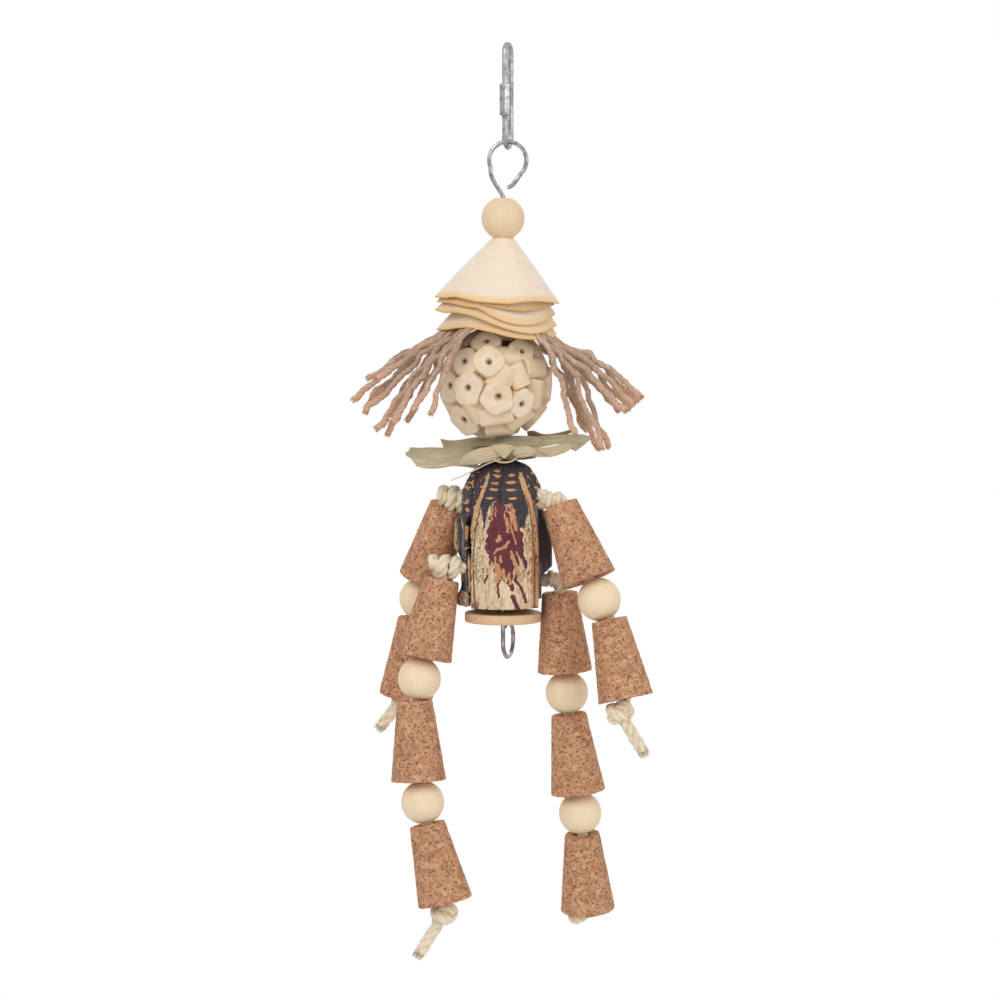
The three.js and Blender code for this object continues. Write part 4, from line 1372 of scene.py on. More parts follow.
def hat_cone(index, rim):
    """A cone of shaving: its crown sits where the solid's does, and its rim follows its own wave."""
    left, right = seen(*rim[0]).x, seen(*rim[-1]).x
    radius, middle = (right - left) / 2, (left + right) / 2
    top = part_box(f"hat_cone_{index}")[1].z / MM
    cone = shape(
        bpy.ops.mesh.primitive_cone_add, f"hat_cone_{index}_shaving", vertices=180, radius1=1,
        radius2=HAT_FLAT / radius, depth=1, end_fill_type="NOTHING",
    )
    edited(cone, [
        lambda mesh: pick(mesh, edges=lambda edge: abs(edge.verts[0].co.z - edge.verts[1].co.z) > 0.5),
        lambda mesh: bpy.ops.mesh.subdivide(number_cuts=39),
        lambda mesh: pick(mesh, edges=lambda edge: edge.is_boundary and edge.verts[0].co.z > 0),
        lambda mesh: bpy.ops.mesh.extrude_edges_move(),
        lambda mesh: bpy.ops.transform.resize(value=(CROWN_BORE / HAT_FLAT, CROWN_BORE / HAT_FLAT, 1)),
    ])

    def place(corner):
        around = Vector((corner.x, corner.y, 0)).normalized()
        share = 0.5 - corner.z
        crown = corner.xy.length * radius < HAT_FLAT - 0.1
        wide = radius + 0.7 * drift(1.7 * around.x, 1.7 * around.y, index * 7.7)
        px = rim[0][0] + (rim[-1][0] - rim[0][0]) * (around.x + 1) / 2
        if around.y < 0:
            low = seen(px, through(rim, px), wide * around.y).z
        else:
            row = rim[0][1] + (rim[-1][1] - rim[0][1]) * (around.x + 1) / 2
            row += 9 * around.y * drift(1.3 * around.x, 1.3 * around.y, index * 5.1)
            low = seen(px, row).z
        out = CROWN_BORE if crown else HAT_FLAT + (wide - HAT_FLAT) * share
        height = top if crown else top + (low - top) * share + 0.5 * math.sin(math.pi * share)
        point = around * out + Vector((STEM_X + (middle - STEM_X) * share, 0, height))
        from_rim = (1 - share) * math.hypot(wide - HAT_FLAT, top - low)
        return point, from_rim, abs(math.atan2(around.y, around.x)) / math.pi

    reshaped(cone, ("rim", "turn"), place)
    turned_outwards(cone)
    modified(cone, "SOLIDIFY", thickness=SHAVING, offset=-1, use_even_offset=True)
    bevelled(cone, 0.2, 2, 50)
    placed(cone)
    smoothed(cone, 50)
    finished(cone, shaving, "hat", [f"hat_cone_{index}"])


for index, rim in enumerate(HAT_RIMS, 1):
    hat_cone(index, rim)

# Hair tie: turns of twine wound round the wire inside the hat

TIE_TURNS = 9
TIE_STEPS = 18
TIE_RADIUS = 3.4
TIE_TWINE = 2.4


def make_hair_tie():
    """A coil of twine from the crown down to where the hair leaves."""
    low, high = (corner.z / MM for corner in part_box("hair_tie"))
    weave = Weave()
    path = []
    for i in range(TIE_TURNS * TIE_STEPS + 1):
        angle = 2 * math.pi * i / TIE_STEPS
        level = low + TIE_TWINE / 2 + i / (TIE_TURNS * TIE_STEPS) * (high - low - TIE_TWINE)
        path.append(Vector((STEM_X + TIE_RADIUS * math.cos(angle), TIE_RADIUS * math.sin(angle), level)))
    weave.strands(even_path(path, 0.9), 2.3, 3, 7.5, 6, share=0.56)
    tie = weave.made("hair_tie_twine")
    finished(tie, jute, "hair", ["hair_tie"])


make_hair_tie()

# Ball of cane slices

BALL_CENTRE = box_middle("slice_ball")
BALL = 25.8
CORE_DEPTH = 4.6
FILL_TRIES = 240
FILL_APART = 0.47
SLICE_LENGTH = 8.0
SLICE_INSETS = (0.16, 0.34, 0.34, 0.02)
# A pith hole's rim and floor, as shares of the slice's radius, how much it narrows, and its depth
HOLE_RIM, HOLE_FLOOR = 0.2, 0.15
HOLE_NARROW = 0.62
HOLE_DEPTH = 1.2
FACING_SHARE = 0.7
FACE_SLICES = [
    # pixel of the slice's middle, its width and height there, the turn of its longer side, and how
    # far it turns to the front
    (488.5, 358, 14.2, 15.4, 10, 0.1),
    (463.8, 359, 12.5, 14.5, 30, 0.2),
    (466.6, 387, 14.6, 15.4, 0, 0.2),
    (497, 397, 15.4, 14.8, 20, 0.1),
    (523, 402, 12.6, 13.6, -15, 0.1),
    (461.5, 423, 13.0, 16.0, 25, 0.45),
    (445.5, 386, 12.6, 14.6, 0, 0.4),
    (485, 338.5, 13.5, 11.5, 0, 0.3),
    (523, 347, 12.0, 12.0, 20, 0.2),
]
SIDE_SLICES = [
    # pixel of the block's middle, the angle of its length in the picture, and its size
    (503, 376, 52, 12.5, 11.0),
    (521.5, 372.5, -66, 11.0, 9.5),
    (537, 364, 12, 12.5, 11.5),
    (541, 394, 82, 13.5, 10.5),
    (508, 352, 10, 12.0, 10.5),
    (449, 356, 50, 12.0, 9.5),
    (497, 419, 14, 15.5, 10.5),
    (523, 421, 40, 13.0, 8.5),
    (500, 433.5, 22, 13.0, 7.5),
    (444, 407, -50, 11.0, 9.0),
    (534, 343, -20, 11.0, 9.0),
]


def slice_block(width, height, length, draw):
    """One slice of cane: a stub with a crushed outline, a soft edge and a pith hole in each end."""
    block = shape(
        bpy.ops.mesh.primitive_cylinder_add, "slice", vertices=20, radius=1, depth=length,
        end_fill_type="NGON",
    )
    edited(block, [
        lambda mesh: pick(mesh, faces=lambda face: flat_end(face) and len(face.verts) > 10),
        *insets(SLICE_INSETS),
    ])
    corners = draw.choice((4, 5, 5, 6))
    squash = draw.uniform(0.04, 0.09)
    skew = draw.uniform(0, 6.28)
    off = Vector((draw.uniform(-0.18, 0.18), draw.uniform(-0.18, 0.18), 0))
    rind = block.data.attributes.new("rind", "FLOAT", "POINT")
    pith = block.data.attributes.new("pith", "FLOAT", "POINT")
    for vertex in block.data.vertices:
        angle = math.atan2(vertex.co.y, vertex.co.x)
        radius = vertex.co.xy.length
        end = abs(vertex.co.z) > length / 2 - 0.01
        core = radius < HOLE_RIM
        rind.data[vertex.index].value = 1.0 if not end or radius > 0.95 else radius * 0.9
        pith.data[vertex.index].value = 1.0 if radius < HOLE_FLOOR else 0.0
        wide = 1 + squash * math.cos(corners * angle + skew) + 0.03 * math.cos(2 * angle + 2 * skew)
        if core:
            vertex.co.x = vertex.co.x * HOLE_NARROW + off.x
            vertex.co.y = vertex.co.y * HOLE_NARROW + off.y
            if radius < HOLE_FLOOR:
                vertex.co.z *= 1 - 2 * HOLE_DEPTH / length
        else:
            vertex.co.x *= wide
            vertex.co.y *= wide
        if end and not core:
            vertex.co.z += math.copysign(0.18, vertex.co.z) * (1 - radius) * draw.uniform(0.6, 1.2)
        vertex.co.x *= width / 2
        vertex.co.y *= height / 2
    bevelled(block, 0.45, 2, 50)
    return block


def make_ball():
    """Slices face to face with the camera where it shows them, and others spread over the rest."""
    draw = random.Random("slices")
    blocks = []
    ways = []

    def on_ball(px, py):
        """The way from the ball's middle to the front point that the camera shows at a pixel."""
        flat = seen(px, py, BALL_CENTRE.y)
        across, up = flat.x - BALL_CENTRE.x, flat.z - BALL_CENTRE.z
        out = math.hypot(across, up)
        limit = BALL * 0.97
        if out > limit:
            across, up = across * limit / out, up * limit / out
        deep = math.sqrt(BALL ** 2 - across ** 2 - up ** 2)
        return Vector((across, -deep, up)).normalized()

    def put(block, way, axis, length_out, tall=UP):
        """Sets a block on the ball with its length along axis and its outer reach at the ball's skin."""
        side = axis.cross(tall)
        if side.length < 0.05:
            side = axis.cross(Vector((1, 0, 0)))
        side.normalize()
        third = axis.cross(side).normalized()
        turn = Matrix((side, third, axis)).transposed().to_4x4()
        centre = BALL_CENTRE + way * (BALL - length_out)
        block.data.transform(Matrix.Translation(centre) @ turn)
        blocks.append(block)
        ways.append(way)

    for px, py, width, height, turn, forward in FACE_SLICES:
        way = on_ball(px, py)
        block = slice_block(width, height, SLICE_LENGTH, draw)
        block.data.transform(Matrix.Rotation(math.radians(turn), 4, "Z"))
        put(block, way, way.lerp(Vector((0, -1, 0)), forward).normalized(), SLICE_LENGTH / 2 + forward)
    for px, py, angle, long_, thick in SIDE_SLICES:
        way = on_ball(px, py)
        lie = Vector((math.cos(math.radians(angle)), 0, math.sin(math.radians(angle))))
        axis = (lie - way * lie.dot(way)).normalized()
        block = slice_block(thick * 1.05, thick * 1.05, long_, draw)
        put(block, way, axis, thick * 0.5, way)
    golden = math.pi * (3 - math.sqrt(5))
    for i in range(FILL_TRIES):
        height = 1 - 2 * (i + 0.5) / FILL_TRIES
        ring = math.sqrt(1 - height * height)
        way = Vector((ring * math.cos(golden * i), ring * math.sin(golden * i), height))
        if all(way.angle(other) > FILL_APART for other in ways):
            if draw.random() < FACING_SHARE:
                block = slice_block(draw.uniform(13, 15), draw.uniform(13, 15.4), SLICE_LENGTH, draw)
                block.data.transform(Matrix.Rotation(draw.uniform(0, 6), 4, "Z"))
                put(block, way, way, SLICE_LENGTH / 2)
            else:
                lie = Vector([draw.uniform(-1, 1) for _ in range(3)])
                axis = (lie - way * lie.dot(way)).normalized()
                block = slice_block(11.5, 11.5, draw.uniform(11, 13.5), draw)
                put(block, way, axis, 5.8, way)
    ball = joined("slice_ball_blocks", blocks)
    placed(ball)
    turned_outwards(ball)
    smoothed(ball, 45)
    finished(ball, cane, "ball", ["slice_ball"])
    core = shape(
        bpy.ops.mesh.primitive_ico_sphere_add, "slice_ball_core", subdivisions=4, radius=BALL - CORE_DEPTH,
        location=BALL_CENTRE,
    )
    placed(core)
    modified(core, "DISPLACE", texture=grain_texture("core", "CLOUDS", noise_scale=0.006), strength=0.001)
    smoothed(core)
    finished(core, ball_core_dark, "ball")


make_ball()

# Base disc

DISC = 17.8
DISC_THICK = 4.4
DISC_INSETS = (8, 8.45)


def make_disc():
    """The turned disc under the pod."""
    disc = shape(
        bpy.ops.mesh.primitive_cylinder_add, "base_disc_turned", vertices=96, radius=DISC,
        depth=DISC_THICK, end_fill_type="NGON",
    )
    bored(disc, flat_end, DISC_INSETS)
    bevelled(disc, 0.7, 4, 40)
    turned_outwards(disc)
    placed(disc, Matrix.Translation(box_middle("base_disc")))
    smoothed(disc, 40)
    finished(disc, disc_wood, "disc", ["base_disc"])


make_disc()

# Pod: four valves of bark

POD_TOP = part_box("pod_valve_front")[1].z / MM
POD_HEIGHT = 70.5
BARK_THICK = 2.6
VALVE_GAP = 0.9
EDGE_ROUND = 1.6
POD_RADIUS = 19
POD_PROFILE = [
    # how far down, and the radius there
    (0.0, 9.0), (0.02, 11.0), (0.06, 13.4), (0.1, 15.6), (0.16, 17.8), (0.22, 18.9), (0.35, 19.3),
    (0.5, 19.4), (0.75, 19.35), (1.0, 19.2),
]


def pod_radius(share):
    """The pod's radius by how far down it is, as a share of its height."""
    for (a, b), (c, d) in zip(POD_PROFILE, POD_PROFILE[1:]):
        if share <= c:
            return b + (d - b) * (share - a) / (c - a)
    return POD_PROFILE[-1][1]


def ridge(value, centre, width):
    """1 at a centre, falling straight to 0 at a width on both sides."""
    return max(0.0, 1 - abs(value - centre) / width)


def soft(value, low, high):
    """0 below low and 1 above high, with a smooth step between."""
    t = min(1.0, max(0.0, (value - low) / (high - low)))
    return t * t * (3 - 2 * t)


CRESCENTS = [
    # pixel of each orange mark beside the front groove, its half width, and how far its ends rise
    (497.2, 471.0, 3.6, 0.6), (497.9, 475.5, 5.4, 1.4), (495.6, 483.0, 5.2, 0.9), (493.3, 489.6, 5.8, 0.7),
    (489.8, 498.2, 5.6, 0.8), (512.0, 475.2, 5.4, -0.6), (511.0, 482.4, 6.4, 0.6), (511.0, 490.0, 6.6, 0.8),
    (512.5, 498.5, 6.4, 0.6), (507.9, 505.4, 4.6, 0.7),
]
LEFT_BORDER = [
    (455, 492), (466, 489.5), (480, 485.5), (501, 477.5),
    (525, 471.5), (559, 468.5), (601, 469.7), (620, 470),
]
RIGHT_BORDER = [
    (455, 517), (466, 520), (481.5, 525), (498.5, 531),
    (523, 536), (559, 538.6), (609, 538.6), (620, 538),
]
BLACK_FOOT = [
    # how far down the crown's black reaches, by the pixel across
    (470, 500), (478, 505), (482, 514), (484.5, 530), (487, 513), (490, 507), (494, 502), (499, 501),
    (502, 507), (505, 510), (508, 507), (511, 506), (513.5, 512), (517, 522), (520.5, 529),
    (524, 527), (527, 518), (530, 512), (536, 508),
]
WINE_LEFT = [
    (500, 497), (506, 493), (517, 490), (532, 488), (544, 486.5),
    (555, 489.5), (563, 492), (572, 495), (586, 500),
]
WINE_RIGHT = [
    (500, 500), (506, 505), (517, 508), (523, 515), (531, 521.5),
    (544, 523), (555, 522), (563, 519), (570, 514), (578, 506),
]
ORANGE_STROKES = [
    # lines of pixels in the wine patch that are orange, each with its half width
    ([(499.5, 537), (498, 541)], 2.3),
    ([(508.5, 541.5), (506, 546.5), (501, 549), (496.5, 549.5), (494.8, 554)], 1.5),
    ([(511, 552), (513.5, 560)], 1.9), ([(500.6, 557), (500.8, 562)], 1.5),
    ([(506.5, 519), (507.5, 526), (508.5, 532)], 1.7),
    ([(513, 510), (514.5, 520), (515.5, 529)], 2.0),
    ([(511, 514), (510.5, 524), (513, 534), (516, 544)], 1.0),
    ([(497, 566), (498.5, 574), (497.5, 580)], 3.2), ([(503, 570), (504, 577)], 2.0),
    ([(509, 573), (510, 584)], 1.4),
    ([(515, 563), (517, 570), (519, 577)], 2.2), ([(492, 508), (491.5, 520)], 1.0),
    ([(496, 508), (495.5, 516)], 0.8),
]
CREAM_STROKES = [
    ([(495.5, 557), (495, 564), (491.5, 570), (494, 577), (491, 584)], 1.1),
    ([(516.5, 552), (520, 560), (523.5, 568), (527, 574)], 1.0),
    ([(489, 566), (487, 574)], 1.0), ([(504.5, 512), (505, 519), (507, 524)], 1.0),
    ([(501.5, 583), (502, 590)], 1.6),
    ([(509.5, 512), (511.5, 519)], 0.9),
]
WINE_STROKES = [
    ([(486, 545), (486.5, 551), (491, 557), (490, 564), (487, 570), (487.5, 576), (484.5, 583)], 1.0),
    ([(494, 564), (492, 571), (494.5, 577), (490.5, 584)], 0.9),
    ([(499, 573), (500.5, 580), (497.5, 585), (499, 597)], 1.3),
    ([(509, 568), (511, 576), (509, 582), (512.5, 589)], 2.7),
    ([(515, 560), (517, 570), (515, 580), (521, 587), (523.5, 594), (526, 602)], 1.6),
    ([(521, 552), (524.5, 560), (526.5, 567)], 1.9),
    ([(512.5, 597), (515.5, 603), (518.5, 611)], 2.5),
    ([(521, 532), (522.5, 542), (523, 552)], 1.2),
    ([(508.5, 506), (509.5, 518), (510, 532)], 1.0),
    ([(515, 508), (517, 522), (519, 536)], 1.3),
]


def groove_at(py):
    """Where the groove down the front of the crown runs: its pixel across, in a row."""
    return 503.4 - 0.10 * (py - 463)


def stroke(px, py, marks, half):
    """How far inside a drawn line a pixel is: 1 on the line, 0 at its edge, and less beyond."""
    if not min(y for _, y in marks) - 6 < py < max(y for _, y in marks) + 6:
        return -9.0
    nearest = 99.0
    for (ax, ay), (bx, by) in zip(marks, marks[1:]):
        wide, tall = bx - ax, by - ay
        t = min(1.0, max(0.0, ((px - ax) * wide + (py - ay) * tall) / (wide ** 2 + tall ** 2)))
        nearest = min(nearest, math.hypot(px - ax - t * wide, py - ay - t * tall))
    return 1 - nearest / half


def front_marks(px, py):
    """What the camera's side of the pod shows at a pixel: a black crown with orange marks between
    two tan borders, a wine patch that breaks into streaks, and pale bark."""
    jag = 2.4 * drift(px * 0.16, py * 0.34, 0) + 1.5 * drift(px * 0.4, py * 0.8, 4)
    wave = math.sin(py * 0.62 + 4 * drift(px * 0.16, py * 0.05, 2))
    bent = px + (1.2 * wave + 0.9 * drift(px * 0.3, py * 0.25, 8)) * soft(py, 498, 520)
    left, right = through(LEFT_BORDER, py), through(RIGHT_BORDER, py)
    inside = soft(px - left, -1, 1) * soft(right - px, -1, 1)
    foot = through(BLACK_FOOT, px) + 5 * drift(px * 0.7, 2.0, 0) + 2.5 * drift(px * 1.6, py * 0.1, 0)
    black = max(1 - soft(py + jag, foot - 3, foot + 2), 1 - inside)
    scorched = inside * (1 - soft(py, foot + 2, foot + 16)) * soft(py, foot - 8, foot)
    wine = min(bent - through(WINE_LEFT, py), through(WINE_RIGHT, py) - bent) / 2.0
    wine = soft(wine, -0.8, 0.6) * soft(py, 494, 499) * (1 - soft(py + 2 * jag, 566, 590))
    for marks, half in WINE_STROKES:
        wine = max(wine, soft(stroke(px + jag * 0.4, py, marks, half), -0.2, 0.5))
    fleck = 0.0
    for cx, cy, wide, rise in CRESCENTS:
        u = (px - cx) / wide
        if abs(u) < 1.2:
            v = (py - cy + rise * (u * u - 0.3)) / (1.7 * max(0.2, 1 - 0.65 * u * u))
            fleck = max(fleck, 1 - soft(math.hypot(u, v) + 0.16 * jag, 0.55, 1.1))
    for marks, half in ORANGE_STROKES:
        fleck = max(fleck, 0.95 * soft(stroke(px + jag * 0.7, py + jag * 0.5, marks, half), -0.3, 0.5))
    for marks, half in CREAM_STROKES:
        wine *= 1 - soft(stroke(px + jag * 0.4, py, marks, half), -0.3, 0.5)
    groove = ridge(px, groove_at(py), 1.5) * (1 - soft(py, 492, 508))
    side_spot = drift(px * 0.2, py * 0.2, 9) + 0.6 * drift(px * 0.5, py * 0.5, 3)
    outside = (1 - inside) * (1 - soft(py, 506, 526)) * soft(py, 468, 476)
    fleck = max(fleck, outside * soft(side_spot, 0.25, 0.42))
    band = max(ridge(px, left + 1 + 0.3 * jag, 3.6), ridge(px, right - 2 + 0.3 * jag, 5.0))
    tan = 1.5 * band * soft(py, 466, 482)
    tan = max(tan, 1.1 * ridge(bent, right - 6, 6) * soft(py, 518, 545) * (1 - 0.5 * soft(py, 575, 605)))
    lines = 1 - soft(abs(drift(bent * 0.46, py * 0.028, 31)), 0.02, 0.15)
    lines = max(lines, 1 - soft(abs(drift(bent * 0.3, py * 0.05, 12)), 0.0, 0.09))
    brown = 0.9 * lines * inside * soft(py, foot - 2, foot + 8) * (1 - 0.6 * soft(py, 570, 596))
    edge_lines = max(ridge(px, left + 4.6, 1.6), ridge(px, right - 4.2, 1.2))
    brown = max(brown, 1.2 * edge_lines * soft(py, 480, 500))
    brown = max(brown, scorched * (0.5 + 0.9 * drift(bent * 0.8, py * 0.05, 6)))
    knot = max(
        ridge(math.hypot(px - cx, (py - cy) * 0.8), 0, wide)
        for cx, cy, wide in ((474.5, 605, 5.6), (534, 608, 3.6))
    )
    brown = max(brown, knot * (1.5 + 1.6 * drift(px * 0.9, py * 0.9, 1)))
    streak = soft(drift(px * 0.5, py * 0.03, 17), 0.0, 0.3) * soft(py, 470, 500)
    black = black * (1 - min(1.0, tan)) if inside > 0.5 else black
    worn = (1 - inside) * soft(drift(px * 0.8, py * 0.05, 23), 0.22, 0.36) * soft(py, 500, 530)
    worn *= soft(left - px, -2, 8)
    return dict(
        black=max(black * (1 - worn), groove), wine=wine * (1 - 0.9 * black), fleck=fleck * (1 - groove),
        tan=max(tan, worn), brown=brown, ash=0.8 * streak * (1 - inside),
    )


def side_marks(x, y, z):
    """Away from the camera's side: black bark with grey streaks, tan where it has worn through."""
    streak = drift(x * 0.8, y * 0.8, z * 0.07)
    spot = drift(x * 0.5 + 40, y * 0.5, z * 0.32)
    down = (POD_TOP - z) / POD_HEIGHT
    worn = drift(x * 0.35, y * 0.35 + 30, z * 0.045)
    tan = soft(worn, 0.12, 0.3) * soft(down, 0.2, 0.35)
    fleck = soft(spot, 0.34, 0.46) * (1 - soft(down, 0.25, 0.5))
    brown = 0.4 + 0.6 * soft(streak, -0.1, 0.3) * soft(down, 0.1, 0.9)
    black = 1.0 - 0.5 * soft(streak, 0.2, 0.45) - 0.35 * soft(down, 0.75, 1)
    return dict(
        black=black * (1 - tan), wine=0.0, fleck=fleck, tan=tan, brown=brown, ash=soft(streak, 0.15, 0.4),
    )


def back_marks(x, z):
    """The back is weathered like the front's foot: dark at the crown, with wine and tan streaks."""
    down = (POD_TOP - z) / POD_HEIGHT
    wander = drift(x * 0.2, 3.0, z * 0.08)
    vein = drift(x * 0.9, 21.0, z * 0.05)
    black = 1 - soft(down + 0.09 * wander + 0.08 * vein, 0.24, 0.36)
    patch = drift(x * 0.12, 8.0, z * 0.05) + 0.6 * drift(x * 0.5, 8.0, z * 0.16)
    wine = soft(patch, 0.05, 0.2) * soft(down, 0.25, 0.33) * (1 - soft(down, 0.6, 0.8))
    fleck = soft(drift(x * 0.4, 6.0, z * 0.3), 0.3, 0.42) * (1 - soft(down, 0.3, 0.5))
    return dict(
        black=black, wine=wine * (1 - black), fleck=fleck, tan=soft(vein, 0.1, 0.3),
        brown=soft(vein, 0.32, 0.46), ash=0.0,
    )


VALVE_LAYERS = ("black", "wine", "fleck", "tan", "brown", "ash")


def bark_marks(point):
    """Each layer of the bark's pattern at a point of the pod, whichever way it faces."""
    round_front = soft(-point.y, 1.0, 4.0)
    round_back = soft(point.y, 9.0, 12.0)
    marks = side_marks(*point)
    for share, other, place in (
        (round_back, back_marks, (point.x, point.z)), (round_front, front_marks, pixel_of(point)),
    ):
        if share > 0:
            there = other(*place)
            marks = {key: marks[key] + (there[key] - marks[key]) * share for key in VALVE_LAYERS}
    if point.x < STEM_X:
        down = (POD_TOP - point.z) / POD_HEIGHT
        stands = math.hypot(point.x - STEM_X, point.y) - pod_radius(down)
        edge = pixel_of(point)[0] + 2 * drift(point.y * 0.8, 5, point.z * 0.3)
        peel = soft(stands, 1.0, 1.6) * (1 - soft(edge, 456, 458.5)) * (1 - soft(down, 0.68, 0.74))
        foot = soft(stands, 0.6, 1.2) * soft(down, 0.74, 0.8)
        marks["tan"] = max(marks["tan"], peel)
        marks["black"] *= 1 - max(peel, 0.8 * foot)
        marks["brown"] = max(marks["brown"] * (1 - 0.8 * peel), 0.7 * foot)
    return marks


def make_valve(name, middle, half, short, inset, flare=None):
    """One valve of the pod's shell. flare gives how far it stands out, from its share down and angle."""
    valve = shape(
        bpy.ops.mesh.primitive_grid_add, f"{name}_bark", x_subdivisions=int(half * 2.6),
        y_subdivisions=190, size=2,
    )
    height = 1 - short / POD_HEIGHT

    def place(corner):
        u, v = corner.x, 0.5 - corner.y / 2
        share = v * height + 0.006 * drift(u * 9, middle, 0) * soft(v, 0.9, 1.0)
        angle = math.radians(middle + u * (half - VALVE_GAP))
        rim = pod_radius(share) - inset * min(1.0, 3 * share)
        if flare:
            rim += flare(share, angle)
        rim *= 1 - 0.35 * max(0.0, 1 - share / 0.05) ** 2
        edge = 1 - (1 - abs(u)) * math.radians(half) * POD_RADIUS / EDGE_ROUND
        rim -= 0.9 * max(0.0, edge) ** 2
        level = POD_TOP - share * POD_HEIGHT
        flat = Vector((STEM_X + rim * math.cos(angle), rim * math.sin(angle), level))
        shown = bark_marks(flat)
        out = rim + 0.45 * drift(flat.x * 0.5, flat.y * 0.5, flat.z * 0.06)
        out += 0.3 * drift(flat.x * 1.3, flat.y * 1.3, flat.z * 0.16)
        out += 0.25 * shown["tan"] + 0.3 * shown["fleck"] * shown["black"] - 0.35 * shown["brown"]
        if angle < 0:
            px, py = pixel_of(flat)
            out -= 0.9 * ridge(px, groove_at(py), 2.6) * (1 - soft(py, 494, 512))
        point = Vector((STEM_X + out * math.cos(angle), out * math.sin(angle), flat.z))
        return point, *(shown[key] for key in VALVE_LAYERS)

    reshaped(valve, VALVE_LAYERS, place)
    modified(valve, "SOLIDIFY", thickness=BARK_THICK, offset=-1, use_even_offset=False)
    turned_outwards(valve)
    bevelled(valve, 0.3, 2, 60)
    placed(valve)
    smoothed(valve, 60)
    finished(valve, bark, "torso", [name])


def right_flare(share, angle):
    """The right valve stands off the pod towards its foot, and turns back in above the hip."""
    down = soft(share, 0.22, 0.62) * (1 - soft(share, 0.69, 0.77))
    return 5.0 * down * soft(math.degrees(angle), -34, -8)


def left_flare(share, angle):
    """The left valve has a hump below its shoulder and stands out again at its foot."""
    behind = math.degrees(angle) - 180
    hump = 3.0 * soft(share, 0.33, 0.41) * (1 - soft(share, 0.56, 0.66))
    return (hump + 2.2 * soft(share, 0.82, 0.9)) * soft(behind, -6, 4)


make_valve("pod_valve_front", -86, 57, 2.8, 0)
make_valve("pod_valve_back", 90, 53, 0, 0)
make_valve("pod_valve_left", 180, 37, 3.5, 0, left_flare)
make_valve("pod_valve_right", 0, 37, 6.5, 1.4, right_flare)

# Collar: folded palm leaf

LEAF_STEP = 0.7


def leaf_sheet(name, lines, ribs, material, thick=0.5, relief=0.22, replaces=()):
    """A ribbed leaf through lines of pixels and depths that run along it, from one edge to the other."""
    length = max(path_length([seen(*mark) for mark in line]) for line in lines)
    rows = max(10, round(length / LEAF_STEP))
    paths = [spaced([seen(*mark) for mark in line], rows) for line in lines]
    columns = max(12, ribs * 6)
    leaf = shape(
        bpy.ops.mesh.primitive_grid_add, name, x_subdivisions=columns, y_subdivisions=rows - 1, size=2,
    )

    def place(corner):
        row = min(rows - 1, max(0, round((corner.y + 1) / 2 * (rows - 1))))
        share = (corner.x + 1) / 2
        across = [path[row] for path in paths]
        at = share * (len(across) - 1)
        i = min(int(at), len(across) - 2)
        before, after = across[max(i - 1, 0)], across[min(i + 2, len(across) - 1)]
        t = at - i
        slope_a, slope_b = (across[i + 1] - before) / 2, (after - across[i]) / 2
        point = (
            across[i] * (2 * t ** 3 - 3 * t ** 2 + 1) + slope_a * (t ** 3 - 2 * t ** 2 + t)
            + across[i + 1] * (3 * t ** 2 - 2 * t ** 3) + slope_b * (t ** 3 - t ** 2)
        )
        ahead = paths[0][min(row + 1, rows - 1)] - paths[0][max(row - 1, 0)]
        out = ahead.cross(across[-1] - across[0])
        out = out.normalized() if out.length > 0.01 else Vector((0, -1, 0))
        fade = min(1.0, (across[-1] - across[0]).length / 4)
        ripple = relief * math.cos(2 * math.pi * ribs * share)
        wobble = 0.35 * drift(point.x * 0.16, share * 1.5, len(name))
        return point + out * (ripple + wobble) * fade, share * ribs * 2.2, row * LEAF_STEP

    reshaped(leaf, ("rib", "run"), place)
    modified(leaf, "SOLIDIFY", thickness=thick, offset=0)
    placed(leaf)
    turned_outwards(leaf)
    smoothed(leaf, 40)
    finished(leaf, material, "collar", replaces)


def spaced(points, count):
    """The points of a smooth line through some marks, the same way apart, a given number of them."""
    path = smooth_path(points, 0.3)
    far = [0.0]
    for a, b in zip(path, path[1:]):
        far.append(far[-1] + (b - a).length)
    found, k = [], 0
    for i in range(count):
        goal = far[-1] * i / (count - 1)
        while k < len(far) - 2 and far[k + 1] < goal:
            k += 1
        gap = max(1e-6, far[k + 1] - far[k])
        found.append(path[k].lerp(path[k + 1], min(1.0, max(0.0, (goal - far[k]) / gap))))
    return found


def mirrored(line, depth):
    """The same marks on the far side of the wire."""
    return [(px, py, depth) for px, py, _ in line]


FOLDS = 8


def fold_ring():
    """Folded strips that stand round the middle where the photograph doesn't show them."""
    centre = Vector((STEM_X, 0, box_middle("collar_folds").z))
    draw = random.Random("folds")
    for n in range(FOLDS):
        angle = math.radians(8 + 164 * n / (FOLDS - 1))
        radius = 12.5 + draw.uniform(-0.6, 0.8)
        out = Vector((math.cos(angle), math.sin(angle), 0))
        along = Vector((-math.sin(angle), math.cos(angle), 0))
        half = draw.uniform(5.0, 6.4)
        tall = draw.uniform(2.2, 2.9)
        middle = centre + out * radius
        lean = draw.uniform(-0.8, 0.8)
        start, end = middle - along * half, middle + along * half
        upper = [start + UP * (lean - 0.4), middle + UP * tall - out * 1.0, end - UP * lean]
        lower = [start + UP * (lean - 0.8), middle - UP * tall + out * 1.6, end - UP * (lean + 0.4)]
        lines = [[(*pixel_of(p), p.y) for p in line] for line in (upper, lower)]
        leaf_sheet(f"collar_fold_{n + 1}", lines, 4, tan_leaf, 0.6)


MIDDLE = 14.0
MIDDLE_INSETS = (0.25, 0.3, 0.3, 0.03)


